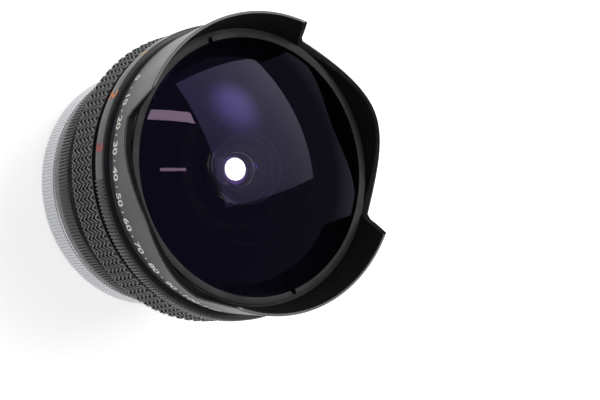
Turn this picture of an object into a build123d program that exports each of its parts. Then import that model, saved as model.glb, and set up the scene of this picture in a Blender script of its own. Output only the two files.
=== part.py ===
"""Fisheye lens for a breech lock mount, as separate pieces.

Lengths are millimetres. The optical axis is Z and the front of the lens points to +Z.
The seat that meets a camera body lies at height zero and +Y points to the index at the top.
Angles are degrees, counted from +X towards +Y.
"""
from build123d import *
import os
from math import cos, sin, radians, degrees, sqrt, asin, atan2, hypot

os.makedirs("parts", exist_ok=True)

# Driving sizes of the whole lens
seat_to_tips = 60.5
spigot_radius = 23.95
top = 90

# Lengths along the axis of the rings that show outside, from the mount to the hood
breech_overhang = 2.4
breech_length = 7.3
aperture_length = 8.4
index_length = 5.0
scale_length = 6.1
grip_length = 9.9
lip_length = 1.1
selector_gap = 1.8
selector_length = 3.9
neck_length = 2.3
ring_gap = 0.3
focus_travel = 1.2

# Walls of those rings, outwards from the barrel that carries each
breech_wall = 1.1
aperture_rear_wall = 2.0
aperture_front_wall = 3.1
index_wall = 3.0
scale_rear_wall = 3.2
scale_front_wall = 1.0
grip_wall = 2.3
grip_thickness = 1.1
lip_wall = 1.9
selector_wall = 3.0
knurl_height = 0.4
neck_wall = 0.9
band_wall = 1.5

# Fits between pieces
turn_fit = 0.05
slide_fit = 0.05
seat_fit = 0.02
clear_gap = 0.3
overrun = 1.0

# Camera side of the mount
spigot_wall = 1.2
spigot_length = 4.2
guard_depth = 6.5
plate_thickness = 2.4
plate_step = 0.7
plate_lip = 1.85
flange_thickness = 3.0
flange_step = 0.45

# Barrels, from the inside out
sleeve_step = 1.65
sleeve_wall = 1.55
sleeve_rear_height = 10.0
barrel_wall = 2.0
barrel_step = 0.4
front_step = 5.8
front_barrel_wall = 1.45
front_end_height = 50.9

# Radii that follow from the ones above
plate_bore = spigot_radius - spigot_wall - plate_lip
flange_bore = spigot_radius + flange_step
sleeve_bore = spigot_radius + sleeve_step
sleeve_radius = sleeve_bore + sleeve_wall
barrel_bore = sleeve_radius + slide_fit
barrel_radius = barrel_bore + barrel_wall
barrel_nose_radius = barrel_radius - barrel_step
plate_radius = barrel_radius + plate_step
breech_radius = plate_radius + breech_wall
aperture_rear_radius = barrel_radius + aperture_rear_wall
aperture_front_radius = barrel_radius + aperture_front_wall
index_radius = barrel_radius + index_wall
scale_rear_radius = barrel_radius + scale_rear_wall
front_barrel_radius = barrel_radius + front_step
front_bore = front_barrel_radius - front_barrel_wall
scale_front_radius = front_barrel_radius + scale_front_wall
grip_radius = front_barrel_radius + grip_wall
grip_seat_radius = grip_radius - grip_thickness
lip_radius = front_barrel_radius + lip_wall
knurl_radius = front_barrel_radius + selector_wall
selector_radius = knurl_radius - knurl_height
neck_radius = front_barrel_radius + neck_wall
band_radius = front_barrel_radius + band_wall

# Heights that follow from the lengths
breech_rear = -breech_overhang
breech_front = breech_rear + breech_length
aperture_rear = breech_front + ring_gap
aperture_front = aperture_rear + aperture_length
index_rear = aperture_front + ring_gap
index_front = index_rear + index_length
scale_rear = index_front + ring_gap
grip_rear = scale_rear + scale_length
grip_front = grip_rear + grip_length
lip_front = grip_front + lip_length
selector_rear = lip_front + selector_gap
selector_front = selector_rear + selector_length
hood_rear = selector_front + ring_gap
band_rear = hood_rear + neck_length
flange_front = plate_thickness + flange_thickness


def section(*outline):
    """Half section of a turned piece, as (radius, height) corners in order."""
    with BuildSketch(Plane.XZ) as half:
        with BuildLine():
            Polyline(*outline, close=True)
        make_face()
    return half.sketch


def spot(radius, angle):
    """Place at a radius and an angle round the axis."""
    return (radius * cos(radians(angle)), radius * sin(radians(angle)))


def level(height):
    """Plane square to the optical axis."""
    return Plane.XY.offset(height)


def facing(radius, angle, height):
    """Plane that looks outwards from the axis, with its own x along the circle."""
    x, y = spot(1, angle)
    return Plane(origin=(radius * x, radius * y, height), x_dir=(-y, x, 0), z_dir=(x, y, 0))


def sector(inner, outer, start, span):
    """Sketch of a stretch of a ring, from a start angle over a span of degrees."""
    with BuildSketch() as stretch:
        with BuildLine():
            CenterArc((0, 0), inner, start, span)
            CenterArc((0, 0), outer, start, span)
            for end in (start, start + span):
                Line(spot(inner, end), spot(outer, end))
        make_face()
    return stretch.sketch


def toothed(root, tip, teeth, root_share, tip_share, first=0, sweep=360):
    """Corners of straight teeth round a circle. The shares are parts of one pitch."""
    pitch = sweep / teeth
    corners = []
    for tooth in range(teeth):
        middle = first + (tooth + 0.5) * pitch
        corners.append(spot(root, middle - pitch * root_share / 2))
        corners.append(spot(tip, middle - pitch * tip_share / 2))
        corners.append(spot(tip, middle + pitch * tip_share / 2))
        corners.append(spot(root, middle + pitch * root_share / 2))
    return corners


def finish(piece, name):
    """Name a piece and write it to its own file."""
    piece.part.label = name
    export_step(piece.part, f"parts/{name}.step")


# Mount plate: the seat that meets the camera body, with the spigot that enters it
screw_circle_step = 2.25
screw_circle_radius = spigot_radius + screw_circle_step
screw_radius = 0.8
screw_head_radius = 1.5
screw_head_height = 0.9
screw_length = 4.2
screw_count = 5
screw_start = 54
screw_clearance = 0.05
spigot_bore = spigot_radius - spigot_wall
seat_relief = 0.3
lug_reach = 1.3
seat_radius = plate_radius - lug_reach - clear_gap

with BuildPart() as mount_plate:
    revolve(
        section(
            (plate_bore, 0),
            (plate_bore, plate_thickness),
            (plate_radius, plate_thickness),
            (plate_radius, seat_relief),
            (seat_radius, seat_relief),
            (seat_radius, 0),
            (spigot_radius, 0),
            (spigot_radius, -spigot_length),
            (spigot_bore, -spigot_length),
            (spigot_bore, 0),
        ),
        axis=Axis.Z,
    )
    with BuildSketch(level(0)):
        with PolarLocations(screw_circle_radius, screw_count, screw_start):
            Circle(screw_head_radius + screw_clearance)
    extrude(amount=screw_head_height, mode=Mode.SUBTRACT)
    with BuildSketch(level(0)):
        with PolarLocations(screw_circle_radius, screw_count, screw_start):
            Circle(screw_radius + screw_clearance)
    extrude(amount=plate_thickness, mode=Mode.SUBTRACT)
    locating_pin_radius = 0.9
    locating_pin_height = 1.0
    locating_pin_place = spot(seat_radius - locating_pin_radius * 2, top)
    with BuildSketch(level(0)):
        with Locations(locating_pin_place):
            Circle(locating_pin_radius)
    extrude(amount=plate_thickness, mode=Mode.SUBTRACT)
finish(mount_plate, "mount_plate")

# Mount screws with a straight slot, from the seat into the barrel
slot_width = 0.35
slot_depth_share = 0.5

with BuildPart() as mount_screws:
    with BuildSketch(level(0)):
        with PolarLocations(screw_circle_radius, screw_count, screw_start):
            Circle(screw_head_radius)
    extrude(amount=screw_head_height)
    with BuildSketch(level(screw_head_height)):
        with PolarLocations(screw_circle_radius, screw_count, screw_start):
            Circle(screw_radius)
    extrude(amount=screw_length - screw_head_height)
    with BuildSketch(level(0)):
        with PolarLocations(screw_circle_radius, screw_count, screw_start):
            Rectangle(slot_width, screw_head_radius * 2)
    extrude(amount=screw_head_height * slot_depth_share, mode=Mode.SUBTRACT)
finish(mount_screws, "mount_screws")

# Locating pin that stops the lens from turning in the camera body
with BuildPart() as locating_pin:
    with BuildSketch(level(-locating_pin_height)):
        with Locations(locating_pin_place):
            Circle(locating_pin_radius - seat_fit)
    extrude(amount=locating_pin_height + plate_thickness)
    chamfer(locating_pin.edges().group_by(Axis.Z)[0], locating_pin_radius / 4)
finish(locating_pin, "locating_pin")

# Levers at the rear: where they stand and how far they turn
lever_set_in = 3.65
lever_thickness = 1.4
lever_outer = spigot_radius - lever_set_in
lever_inner = lever_outer - lever_thickness
lever_width = 3.0
lever_stop_short = 0.4
lever_slot_margin = 0.4
signal_angle = 300
signal_turn = 54
auto_angle = 150
auto_turn = 24
lever_middle = (lever_inner + lever_outer) / 2
lever_tip = -guard_depth + lever_stop_short


def lever_slot(angle, turn):
    """Arc slot for a lever that turns about the axis, wider than it by the margin."""
    margin = degrees((lever_width / 2 + lever_slot_margin) / lever_middle)
    return sector(
        lever_inner - lever_slot_margin,
        lever_outer + lever_slot_margin,
        angle - margin,
        turn + margin * 2,
    )


# Rear guard: the black plate and rim round the levers. The lens stands on its rim
guard_plate_thickness = 1.2
guard_wall = 0.9
guard_bore = 16.3
guard_radius = spigot_bore - slide_fit * 2
signal_pin_angle = 60
signal_pin_radius = 0.7
signal_pin_length = 2.6

with BuildPart() as rear_guard:
    revolve(
        section(
            (guard_bore, -guard_plate_thickness),
            (guard_bore, 0),
            (guard_radius, 0),
            (guard_radius, -guard_depth),
            (guard_radius - guard_wall, -guard_depth),
            (guard_radius - guard_wall, -guard_plate_thickness),
        ),
        axis=Axis.Z,
    )
    extrude(lever_slot(signal_angle, signal_turn), amount=-guard_plate_thickness, mode=Mode.SUBTRACT)
    extrude(lever_slot(auto_angle, auto_turn), amount=-guard_plate_thickness, mode=Mode.SUBTRACT)
    with BuildSketch(level(0)):
        with Locations(spot(lever_middle, signal_pin_angle)):
            Circle(signal_pin_radius + seat_fit)
    extrude(amount=-guard_plate_thickness, mode=Mode.SUBTRACT)
finish(rear_guard, "rear_guard")

# Fixed pin that tells the camera body the widest aperture
with BuildPart() as aperture_pin:
    with BuildSketch(level(0)):
        with Locations(spot(lever_middle, signal_pin_angle)):
            Circle(signal_pin_radius)
    extrude(amount=-guard_plate_thickness - signal_pin_length)
    fillet(aperture_pin.edges().group_by(Axis.Z)[0], signal_pin_radius / 2)
finish(aperture_pin, "aperture_pin")

# Outer barrel: the fixed tube that carries every ring
key_width = 3.0
key_length = 6.0
key_height = scale_rear + key_length / 2 + ring_gap
key_angles = (0, 180)
key_reach = 0.9
roller_radius = 1.2
roller_angles = (30, 150, 270)
roller_drop = 0.2
roller_height = grip_rear - roller_drop
roller_clearance = 0.05
barrel_front = roller_height + roller_radius + focus_travel + clear_gap + barrel_wall
lever_key_angle = 240
lever_key_radius = 0.6
lever_key_height = flange_front + lever_key_radius * 3
lever_key_margin = 0.4
index_screw_radius = 0.7
index_screw_angles = (top + 60, top + 180, top + 300)
index_screw_depth = 0.6
index_middle = (index_rear + index_front) / 2

with BuildPart() as outer_barrel:
    revolve(
        section(
            (flange_bore, plate_thickness),
            (flange_bore, flange_front),
            (barrel_bore, flange_front),
            (barrel_bore, barrel_front),
            (barrel_nose_radius, barrel_front),
            (barrel_nose_radius, scale_rear),
            (barrel_radius, scale_rear),
            (barrel_radius, plate_thickness),
        ),
        axis=Axis.Z,
    )
    with BuildSketch(level(plate_thickness)):
        with PolarLocations(screw_circle_radius, screw_count, screw_start):
            Circle(screw_radius + screw_clearance)
    extrude(amount=flange_thickness, mode=Mode.SUBTRACT)
    for angle in key_angles:
        with BuildSketch(facing(0, angle, key_height)):
            Rectangle(key_width, key_length)
        extrude(amount=barrel_radius + overrun, mode=Mode.SUBTRACT)
    for angle in roller_angles:
        with BuildSketch(facing(0, angle, roller_height + focus_travel / 2)):
            SlotOverall(
                focus_travel + (roller_radius + roller_clearance) * 2,
                (roller_radius + roller_clearance) * 2,
                rotation=90,
            )
        extrude(amount=barrel_radius + overrun, mode=Mode.SUBTRACT)
    slot_half = lever_key_radius + lever_key_margin
    slot_margin = degrees(slot_half / barrel_bore)
    with BuildSketch(level(lever_key_height - slot_half)):
        add(
            sector(
                barrel_bore - overrun,
                barrel_radius + overrun,
                lever_key_angle - slot_margin,
                signal_turn + slot_margin * 2,
            )
        )
    extrude(amount=slot_half * 2, mode=Mode.SUBTRACT)
    for angle in index_screw_angles:
        with BuildSketch(facing(barrel_radius - index_screw_depth, angle, index_middle)):
            Circle(index_screw_radius + screw_clearance)
        extrude(amount=overrun + index_screw_depth, mode=Mode.SUBTRACT)
finish(outer_barrel, "outer_barrel")

# Guide keys that let the optical unit slide but not turn
with BuildPart() as guide_keys:
    for angle in key_angles:
        with BuildSketch(facing(sleeve_radius - key_reach, angle, key_height)):
            Rectangle(key_width - slide_fit, key_length - slide_fit)
        extrude(amount=key_reach + barrel_wall - barrel_step - clear_gap / 2)
finish(guide_keys, "guide_keys")

# Index ring: fixed, with the focus index and the depth of field lines
index_chamfer = 0.3

with BuildPart() as index_ring:
    revolve(
        section(
            (barrel_radius + seat_fit, index_rear),
            (barrel_radius + seat_fit, index_front),
            (index_radius - index_chamfer, index_front),
            (index_radius, index_front - index_chamfer),
            (index_radius, index_rear + index_chamfer),
            (index_radius - index_chamfer, index_rear),
        ),
        axis=Axis.Z,
    )
    for angle in index_screw_angles:
        with BuildSketch(facing(barrel_radius - overrun, angle, index_middle)):
            Circle(index_screw_radius + screw_clearance)
        extrude(amount=index_radius - barrel_radius + overrun * 2, mode=Mode.SUBTRACT)
finish(index_ring, "index_ring")

# Grub screws of the index ring
with BuildPart() as index_screws:
    for angle in index_screw_angles:
        with BuildSketch(facing(barrel_radius - index_screw_depth + seat_fit, angle, index_middle)):
            Circle(index_screw_radius)
        extrude(amount=index_radius - barrel_radius + index_screw_depth - index_chamfer)
        with BuildSketch(facing(index_radius - index_chamfer + seat_fit, angle, index_middle)):
            Rectangle(index_screw_radius * 2, slot_width)
        extrude(amount=-index_screw_depth / 2, mode=Mode.SUBTRACT)
finish(index_screws, "index_screws")

# Lever retainer: the flat ring that holds both lever rings in the flange
retainer_thickness = 0.6
retainer_lip = 1.4
retainer_bore = flange_bore - retainer_lip

with BuildPart() as lever_retainer:
    revolve(
        section(
            (retainer_bore, flange_front),
            (retainer_bore, flange_front + retainer_thickness),
            (barrel_bore - seat_fit, flange_front + retainer_thickness),
            (barrel_bore - seat_fit, flange_front),
        ),
        axis=Axis.Z,
    )
finish(lever_retainer, "lever_retainer")

# Breech ring: the bright ring that is turned to lock the lens, with three lugs inside
breech_knurl_height = 0.22
breech_teeth = 217
breech_root_share = 0.8
breech_tip_share = 0.5
breech_bevel = 0.7
breech_bore_rear = plate_radius + turn_fit
breech_shoulder = plate_thickness + ring_gap / 3
lug_thickness = 0.9
lug_count = 3
lug_span = 50
lug_start = 5
mark_radius = 1.0
mark_depth = 0.4

with BuildPart() as breech_ring:
    with BuildSketch(level(breech_rear + breech_knurl_height)):
        with BuildLine():
            Polyline(
                *toothed(
                    breech_radius - breech_knurl_height,
                    breech_radius,
                    breech_teeth,
                    breech_root_share,
                    breech_tip_share,
                ),
                close=True,
            )
        make_face()
        Circle(breech_bore_rear, mode=Mode.SUBTRACT)
    extrude(amount=breech_length - breech_bevel - breech_knurl_height * 2)
    revolve(
        section(
            (breech_bore_rear, breech_rear),
            (breech_bore_rear, breech_shoulder),
            (barrel_radius + turn_fit, breech_shoulder),
            (barrel_radius + turn_fit, breech_front),
            (breech_radius - breech_knurl_height - breech_bevel, breech_front),
            (breech_radius - breech_knurl_height, breech_front - breech_bevel),
            (breech_radius - breech_knurl_height, breech_rear + breech_knurl_height),
            (breech_radius - breech_knurl_height * 2, breech_rear),
        ),
        axis=Axis.Z,
    )
    for lug in range(lug_count):
        lug_angle = lug_start + lug * 360 / lug_count
        with BuildSketch(level(breech_rear)):
            add(
                sector(
                    breech_bore_rear - lug_reach,
                    breech_bore_rear + lug_reach / 4,
                    lug_angle,
                    lug_span,
                )
            )
        extrude(amount=lug_thickness)
    with BuildSketch(facing(breech_radius - breech_knurl_height - mark_depth, top, 0)):
        Circle(mark_radius + seat_fit)
    extrude(amount=overrun, mode=Mode.SUBTRACT)
finish(breech_ring, "breech_ring")

# Red mark let into the breech ring, which is lined up with the camera body
with BuildPart() as breech_mark:
    with BuildSketch(facing(breech_radius - breech_knurl_height - mark_depth + seat_fit, top, 0)):
        Circle(mark_radius)
    extrude(amount=breech_knurl_height + mark_depth)
finish(breech_mark, "breech_mark")

# Aperture ring: plain band for the numbers, then a ribbed band
number_length = 4.4
rib_root_step = 0.35
rib_teeth = 222
rib_root_share = 0.75
rib_tip_share = 0.4
rib_margin = 0.35
button_angle = 40
button_radius = 1.5
button_height = aperture_rear + number_length / 2
button_pocket = 1.5
button_travel = 0.6
button_stand = 0.7
lever_key_hole = lever_key_radius + seat_fit
aperture_bore = barrel_radius + turn_fit
rib_root = aperture_front_radius - rib_root_step
rib_rear = aperture_rear + number_length + rib_margin

with BuildPart() as aperture_ring:
    with BuildSketch(level(rib_rear)):
        with BuildLine():
            Polyline(
                *toothed(rib_root, aperture_front_radius, rib_teeth, rib_root_share, rib_tip_share),
                close=True,
            )
        make_face()
        Circle(aperture_bore, mode=Mode.SUBTRACT)
    extrude(amount=aperture_front - rib_rear - rib_margin)
    revolve(
        section(
            (aperture_bore, aperture_rear),
            (aperture_bore, aperture_front),
            (rib_root - rib_margin, aperture_front),
            (rib_root, aperture_front - rib_margin),
            (rib_root, rib_rear),
            (rib_root, rib_rear - rib_margin),
            (aperture_rear_radius, aperture_rear + rib_margin),
            (aperture_rear_radius - rib_margin, aperture_rear),
        ),
        axis=Axis.Z,
    )
    with BuildSketch(facing(aperture_bore - overrun, lever_key_angle, lever_key_height)):
        Circle(lever_key_hole)
    extrude(amount=overrun * 2, mode=Mode.SUBTRACT)
    with BuildSketch(facing(aperture_rear_radius - button_pocket, button_angle, button_height)):
        Circle(button_radius + turn_fit)
    extrude(amount=button_pocket + overrun, mode=Mode.SUBTRACT)
finish(aperture_ring, "aperture_ring")

# Sprung button that lets the aperture ring turn on to its automatic setting
with BuildPart() as lock_button:
    button_foot = aperture_rear_radius - button_pocket + button_travel + ring_gap / 3
    with BuildSketch(facing(button_foot, button_angle, button_height)):
        Circle(button_radius)
    extrude(amount=aperture_rear_radius + button_stand - button_foot)
finish(lock_button, "lock_button")

# Signal ring: turns with the aperture ring and carries the long lever behind
lever_ring_thickness = 1.2
lever_ring_wall = 2.95
lever_ring_radius = flange_bore - turn_fit
lever_ring_bore = lever_ring_radius - lever_ring_wall
auto_ring_rear = plate_thickness + ring_gap / 3
signal_ring_rear = auto_ring_rear + lever_ring_thickness + ring_gap
key_tab_step = 0.1
key_tab_thickness = 1.2
key_tab_inner = lever_ring_bore + key_tab_step
key_tab_outer = key_tab_inner + key_tab_thickness
key_tab_width = 2.6
key_tab_front = lever_key_height + lever_key_radius * 2

with BuildPart() as signal_ring:
    with BuildSketch(level(signal_ring_rear)):
        Circle(lever_ring_radius)
        Circle(lever_ring_bore, mode=Mode.SUBTRACT)
        with PolarLocations(0, 1, signal_angle):
            with Locations(((lever_inner + lever_ring_bore + turn_fit) / 2, 0)):
                Rectangle(lever_ring_bore - lever_inner + turn_fit, lever_width)
    extrude(amount=lever_ring_thickness)
    with BuildSketch(level(lever_tip)):
        with PolarLocations(lever_middle, 1, signal_angle):
            Rectangle(lever_outer - lever_inner, lever_width)
    extrude(amount=signal_ring_rear + lever_ring_thickness - lever_tip)
    with BuildSketch(level(signal_ring_rear)):
        with PolarLocations((key_tab_inner + key_tab_outer) / 2, 1, lever_key_angle):
            Rectangle(key_tab_outer - key_tab_inner, key_tab_width)
    extrude(amount=key_tab_front - signal_ring_rear)
    with BuildSketch(facing(key_tab_inner - overrun, lever_key_angle, lever_key_height)):
        Circle(lever_key_hole)
    extrude(amount=overrun * 2 + key_tab_outer - key_tab_inner, mode=Mode.SUBTRACT)
finish(signal_ring, "signal_ring")

# Key that joins the aperture ring to the signal ring through the barrel
with BuildPart() as aperture_key:
    with BuildSketch(facing(key_tab_inner, lever_key_angle, lever_key_height)):
        Circle(lever_key_radius)
    extrude(amount=aperture_bore + overrun - key_tab_inner - seat_fit)
finish(aperture_key, "aperture_key")

# Automatic lever: the camera turns it to close the iris, and its fork drives the iris arm
fork_wall = 1.2
arm_width = 2.4
fork_gap = arm_width / 2 + turn_fit
fork_front = 9.0

with BuildPart() as auto_lever:
    with BuildSketch(level(auto_ring_rear)):
        Circle(lever_ring_radius)
        Circle(lever_ring_bore, mode=Mode.SUBTRACT)
        with PolarLocations(0, 1, auto_angle):
            with Locations(((lever_inner + lever_ring_bore + turn_fit) / 2, 0)):
                Rectangle(lever_ring_bore - lever_inner + turn_fit, (fork_gap + fork_wall) * 2)
    extrude(amount=lever_ring_thickness)
    with BuildSketch(level(lever_tip)):
        with PolarLocations(lever_middle, 1, auto_angle):
            Rectangle(lever_outer - lever_inner, lever_width)
    extrude(amount=auto_ring_rear - lever_tip)
    with BuildSketch(level(auto_ring_rear)):
        with PolarLocations(lever_middle, 1, auto_angle):
            with Locations((0, fork_gap + fork_wall / 2), (0, -fork_gap - fork_wall / 2)):
                Rectangle(lever_outer - lever_inner, fork_wall)
    extrude(amount=fork_front - auto_ring_rear)
finish(auto_lever, "auto_lever")

# Focus ring: scale cone, seat for the grip and front lip, turning on the barrel
focus_bore = barrel_nose_radius + turn_fit
focus_front_bore = front_barrel_radius + clear_gap
focus_step_height = barrel_front + clear_gap
groove_half = roller_radius + roller_clearance
groove_depth = 1.4
lip_bevel = 0.3

with BuildPart() as focus_ring:
    revolve(
        section(
            (focus_bore, scale_rear),
            (focus_bore, focus_step_height),
            (focus_front_bore, focus_step_height),
            (focus_front_bore, lip_front),
            (lip_radius - lip_bevel, lip_front),
            (lip_radius, lip_front - lip_bevel),
            (lip_radius, grip_front),
            (grip_seat_radius, grip_front),
            (grip_seat_radius, grip_rear),
            (scale_front_radius, grip_rear),
            (scale_rear_radius, scale_rear + ring_gap * 2),
            (scale_rear_radius - lip_bevel, scale_rear),
        ),
        axis=Axis.Z,
    )
    revolve(
        section(
            (focus_bore - overrun, roller_height - groove_half),
            (focus_bore - overrun, roller_height + focus_travel + groove_half),
            (focus_bore + groove_depth, roller_height + focus_travel + groove_half),
            (focus_bore + groove_depth, roller_height - groove_half),
        ),
        axis=Axis.Z,
        mode=Mode.SUBTRACT,
    )
finish(focus_ring, "focus_ring")

# Rubber grip with a row of teeth on each bar
grip_bars = 92
bar_root_share = 0.8
bar_tip_share = 0.6
grip_groove = 0.75

with BuildPart() as focus_grip:
    with BuildSketch(level(grip_rear + seat_fit)):
        with BuildLine():
            Polyline(
                *toothed(
                    grip_radius - grip_groove,
                    grip_radius,
                    grip_bars,
                    bar_root_share,
                    bar_tip_share,
                ),
                close=True,
            )
        make_face()
        Circle(grip_seat_radius + seat_fit, mode=Mode.SUBTRACT)
    extrude(amount=grip_length - seat_fit * 2)
finish(focus_grip, "focus_grip")

# Filter turret: where it stands in the front barrel, its filters and its gears
filter_names = ("clear_filter", "yellow_filter", "orange_filter", "red_filter")
turret_teeth = 16
gear_teeth = 65
turret_angle = 200
filter_radius = 6.85
filter_thickness = 1.5
filter_wall = 1.15
turret_bay_wall = 1.9
turret_thickness = 3.0
turret_bay_bore = front_barrel_radius - turret_bay_wall
turret_offset = (turret_bay_bore - clear_gap * 2 - filter_radius - filter_wall) / 2
gear_module = turret_offset * 2 / (gear_teeth - turret_teeth)
turret_radius = turret_offset + filter_radius + filter_wall
deck_thickness = 1.6
deck_bore = 7.5
deck_rear = barrel_front + clear_gap * 5
deck_front = deck_rear + deck_thickness
turret_rear = deck_front + ring_gap * 3
turret_front = turret_rear + turret_thickness
turret_place = spot(turret_offset, turret_angle)

# Front barrel: slides in the outer barrel and carries the hood, the glass and the iris
lip_thickness = 0.5
lip_reach = 0.8
gear_wall = 1.75
gear_bore = front_bore - gear_wall
gear_rear = turret_front + ring_gap + lip_thickness
cell_seat_depth = 8.0
cell_seat_height = front_end_height - cell_seat_depth
counterbore_depth = 1.1
counterbore_wall = 0.45
counterbore_radius = front_barrel_radius - counterbore_wall
selector_middle = (selector_rear + selector_front) / 2
selector_key_radius = 1.0
selector_key_angle = 60
selector_turn = (len(filter_names) - 1) * 360 / len(filter_names) * turret_teeth / gear_teeth
key_slot_half = selector_key_radius + clear_gap
sleeve_key_length = key_length + focus_travel + clear_gap * 2
axle_foot_radius = 1.0
hood_screw_radius = 0.6
hood_screw_depth = 0.4
hood_screw_angles = (top + 30, top + 150, top + 270)
hood_screw_height = hood_rear + neck_length / 2

with BuildPart() as front_barrel:
    revolve(
        section(
            (sleeve_bore, sleeve_rear_height),
            (sleeve_bore, deck_rear),
            (deck_bore, deck_rear),
            (deck_bore, deck_front),
            (turret_bay_bore, deck_front),
            (turret_bay_bore, gear_rear - lip_thickness),
            (gear_bore - lip_reach, gear_rear - lip_thickness),
            (gear_bore - lip_reach, gear_rear),
            (gear_bore, gear_rear),
            (gear_bore, cell_seat_height),
            (front_bore, cell_seat_height),
            (front_bore, front_end_height - counterbore_depth),
            (counterbore_radius, front_end_height - counterbore_depth),
            (counterbore_radius, front_end_height),
            (front_barrel_radius, front_end_height),
            (front_barrel_radius, deck_rear),
            (sleeve_radius, deck_rear),
            (sleeve_radius, sleeve_rear_height),
        ),
        axis=Axis.Z,
    )
    for angle in key_angles:
        with BuildSketch(facing(0, angle, key_height - focus_travel / 2)):
            Rectangle(key_width + slide_fit, sleeve_key_length)
        extrude(amount=sleeve_radius + overrun, mode=Mode.SUBTRACT)
    for angle in roller_angles:
        with BuildSketch(facing(0, angle, roller_height)):
            Circle(roller_radius / 2 + seat_fit)
        extrude(amount=sleeve_radius + overrun, mode=Mode.SUBTRACT)
    selector_slot_margin = degrees(key_slot_half / gear_bore)
    with BuildSketch(level(selector_middle - key_slot_half)):
        add(
            sector(
                gear_bore - overrun,
                front_barrel_radius + overrun,
                selector_key_angle - selector_turn - selector_slot_margin,
                selector_turn + selector_slot_margin * 2,
            )
        )
    extrude(amount=key_slot_half * 2, mode=Mode.SUBTRACT)
    with BuildSketch(level(deck_rear)):
        with Locations(turret_place):
            Circle(axle_foot_radius + seat_fit)
    extrude(amount=deck_thickness, mode=Mode.SUBTRACT)
    for angle in hood_screw_angles:
        with BuildSketch(facing(front_barrel_radius - hood_screw_depth, angle, hood_screw_height)):
            Circle(hood_screw_radius + seat_fit)
        extrude(amount=overrun, mode=Mode.SUBTRACT)
finish(front_barrel, "front_barrel")

# Cam rollers that ride in the focus ring's groove and move the optical unit
with BuildPart() as cam_rollers:
    for angle in roller_angles:
        with BuildSketch(facing(sleeve_bore + clear_gap, angle, roller_height)):
            Circle(roller_radius / 2)
        extrude(amount=sleeve_wall - clear_gap + seat_fit)
        with BuildSketch(facing(sleeve_radius + seat_fit, angle, roller_height)):
            Circle(roller_radius)
        extrude(amount=focus_bore + groove_depth - clear_gap - sleeve_radius)
finish(cam_rollers, "cam_rollers")


def sag(radius, curve):
    """Depth of a curved glass surface between its middle and a radius."""
    return abs(curve) - sqrt(curve**2 - radius**2)


def bulge(radius, curve):
    """Height of a surface's middle over its land, less than zero where it is hollow."""
    return sag(radius, curve) * (1 if curve > 0 else -1)


def glass(rim, land_front, land_back, clear_front, clear_back, front_curve, back_curve):
    """Half section of a glass element with flat lands. A curve less than zero is hollow."""
    front = land_front + bulge(clear_front, front_curve)
    back = land_back - bulge(clear_back, back_curve)
    front_middle = front - bulge(clear_front / 2, front_curve)
    back_middle = back + bulge(clear_back / 2, back_curve)
    with BuildSketch(Plane.XZ) as half:
        with BuildLine():
            Line((0, back), (0, front))
            ThreePointArc((0, front), (clear_front / 2, front_middle), (clear_front, land_front))
            if clear_front < rim:
                Line((clear_front, land_front), (rim, land_front))
            Line((rim, land_front), (rim, land_back))
            Line((rim, land_back), (clear_back, land_back))
            ThreePointArc((clear_back, land_back), (clear_back / 2, back_middle), (0, back))
        make_face()
    return half.sketch


# Front glass: the big dome with a deep hollow behind
dome_height = 8.5
dome_rim_step = 0.6
dome_hollow_radius = 18.0
dome_hollow_curve = 20.0
cell_flange_thickness = 2.9
front_glass_rim = front_bore - slide_fit * 2
front_glass_land = front_end_height - dome_rim_step
front_glass_back = cell_seat_height + cell_flange_thickness
dome_curve = (front_glass_rim**2 + dome_height**2) / (dome_height * 2)

with BuildPart() as front_glass:
    revolve(
        glass(
            front_glass_rim,
            front_glass_land,
            front_glass_back,
            front_glass_rim,
            dome_hollow_radius,
            dome_curve,
            -dome_hollow_curve,
        ),
        axis=Axis.Z,
    )
finish(front_glass, "front_glass")

# Retaining ring over the rim of the front glass, with two notches for a spanner
retaining_bore = 32.7
retaining_stand = 0.4
retaining_web = 0.45
notch_width = 1.3
notch_depth = 0.8
notch_reach = 1.3
notch_angle = top - 3
retaining_radius = counterbore_radius - seat_fit
retaining_front = front_end_height + retaining_stand

with BuildPart() as retaining_ring:
    revolve(
        section(
            (retaining_bore, retaining_front - retaining_web),
            (retaining_bore, retaining_front),
            (retaining_radius, retaining_front),
            (retaining_radius, front_end_height - counterbore_depth + seat_fit),
            (front_glass_rim + slide_fit * 3, front_end_height - counterbore_depth + seat_fit),
            (front_glass_rim + slide_fit * 3, retaining_front - retaining_web),
        ),
        axis=Axis.Z,
    )
    with BuildSketch(level(retaining_front)):
        with PolarLocations(retaining_radius - notch_reach / 2, 2, notch_angle):
            Rectangle(notch_reach + seat_fit * 2, notch_width)
    extrude(amount=-notch_depth, mode=Mode.SUBTRACT)
finish(retaining_ring, "retaining_ring")

# Second, third and fourth glasses of the front group
second_rim = 17.0
second_front_clear = 16.5
second_back_clear = 13.0
second_front_curve = 20.3
second_back_curve = 13.7
second_back_land = cell_seat_height + 0.7
clamp_thickness = 0.55
clamp_radius = 18.2
clamp_lip = 0.45
third_rim = 11.5
third_clear = 10.5
third_front_curve = 60.0
third_back_curve = 45.0
third_thickness = 1.6
fourth_rim = 9.5
fourth_clear = 8.8
fourth_front_curve = 30.5
fourth_back_curve = 41.0
fourth_thickness = 1.1
cell_body_radius = 19.5
cell_floor = 0.3
cell_rear = cell_seat_height - 2.9
clamp_seat = front_glass_back - clamp_thickness - seat_fit
fourth_back_land = cell_rear + cell_floor
third_back_land = fourth_back_land + fourth_thickness + ring_gap * 2 / 3

with BuildPart() as second_glass:
    revolve(
        glass(
            second_rim,
            clamp_seat,
            second_back_land,
            second_front_clear,
            second_back_clear,
            second_front_curve,
            -second_back_curve,
        ),
        axis=Axis.Z,
    )
finish(second_glass, "second_glass")

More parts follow.
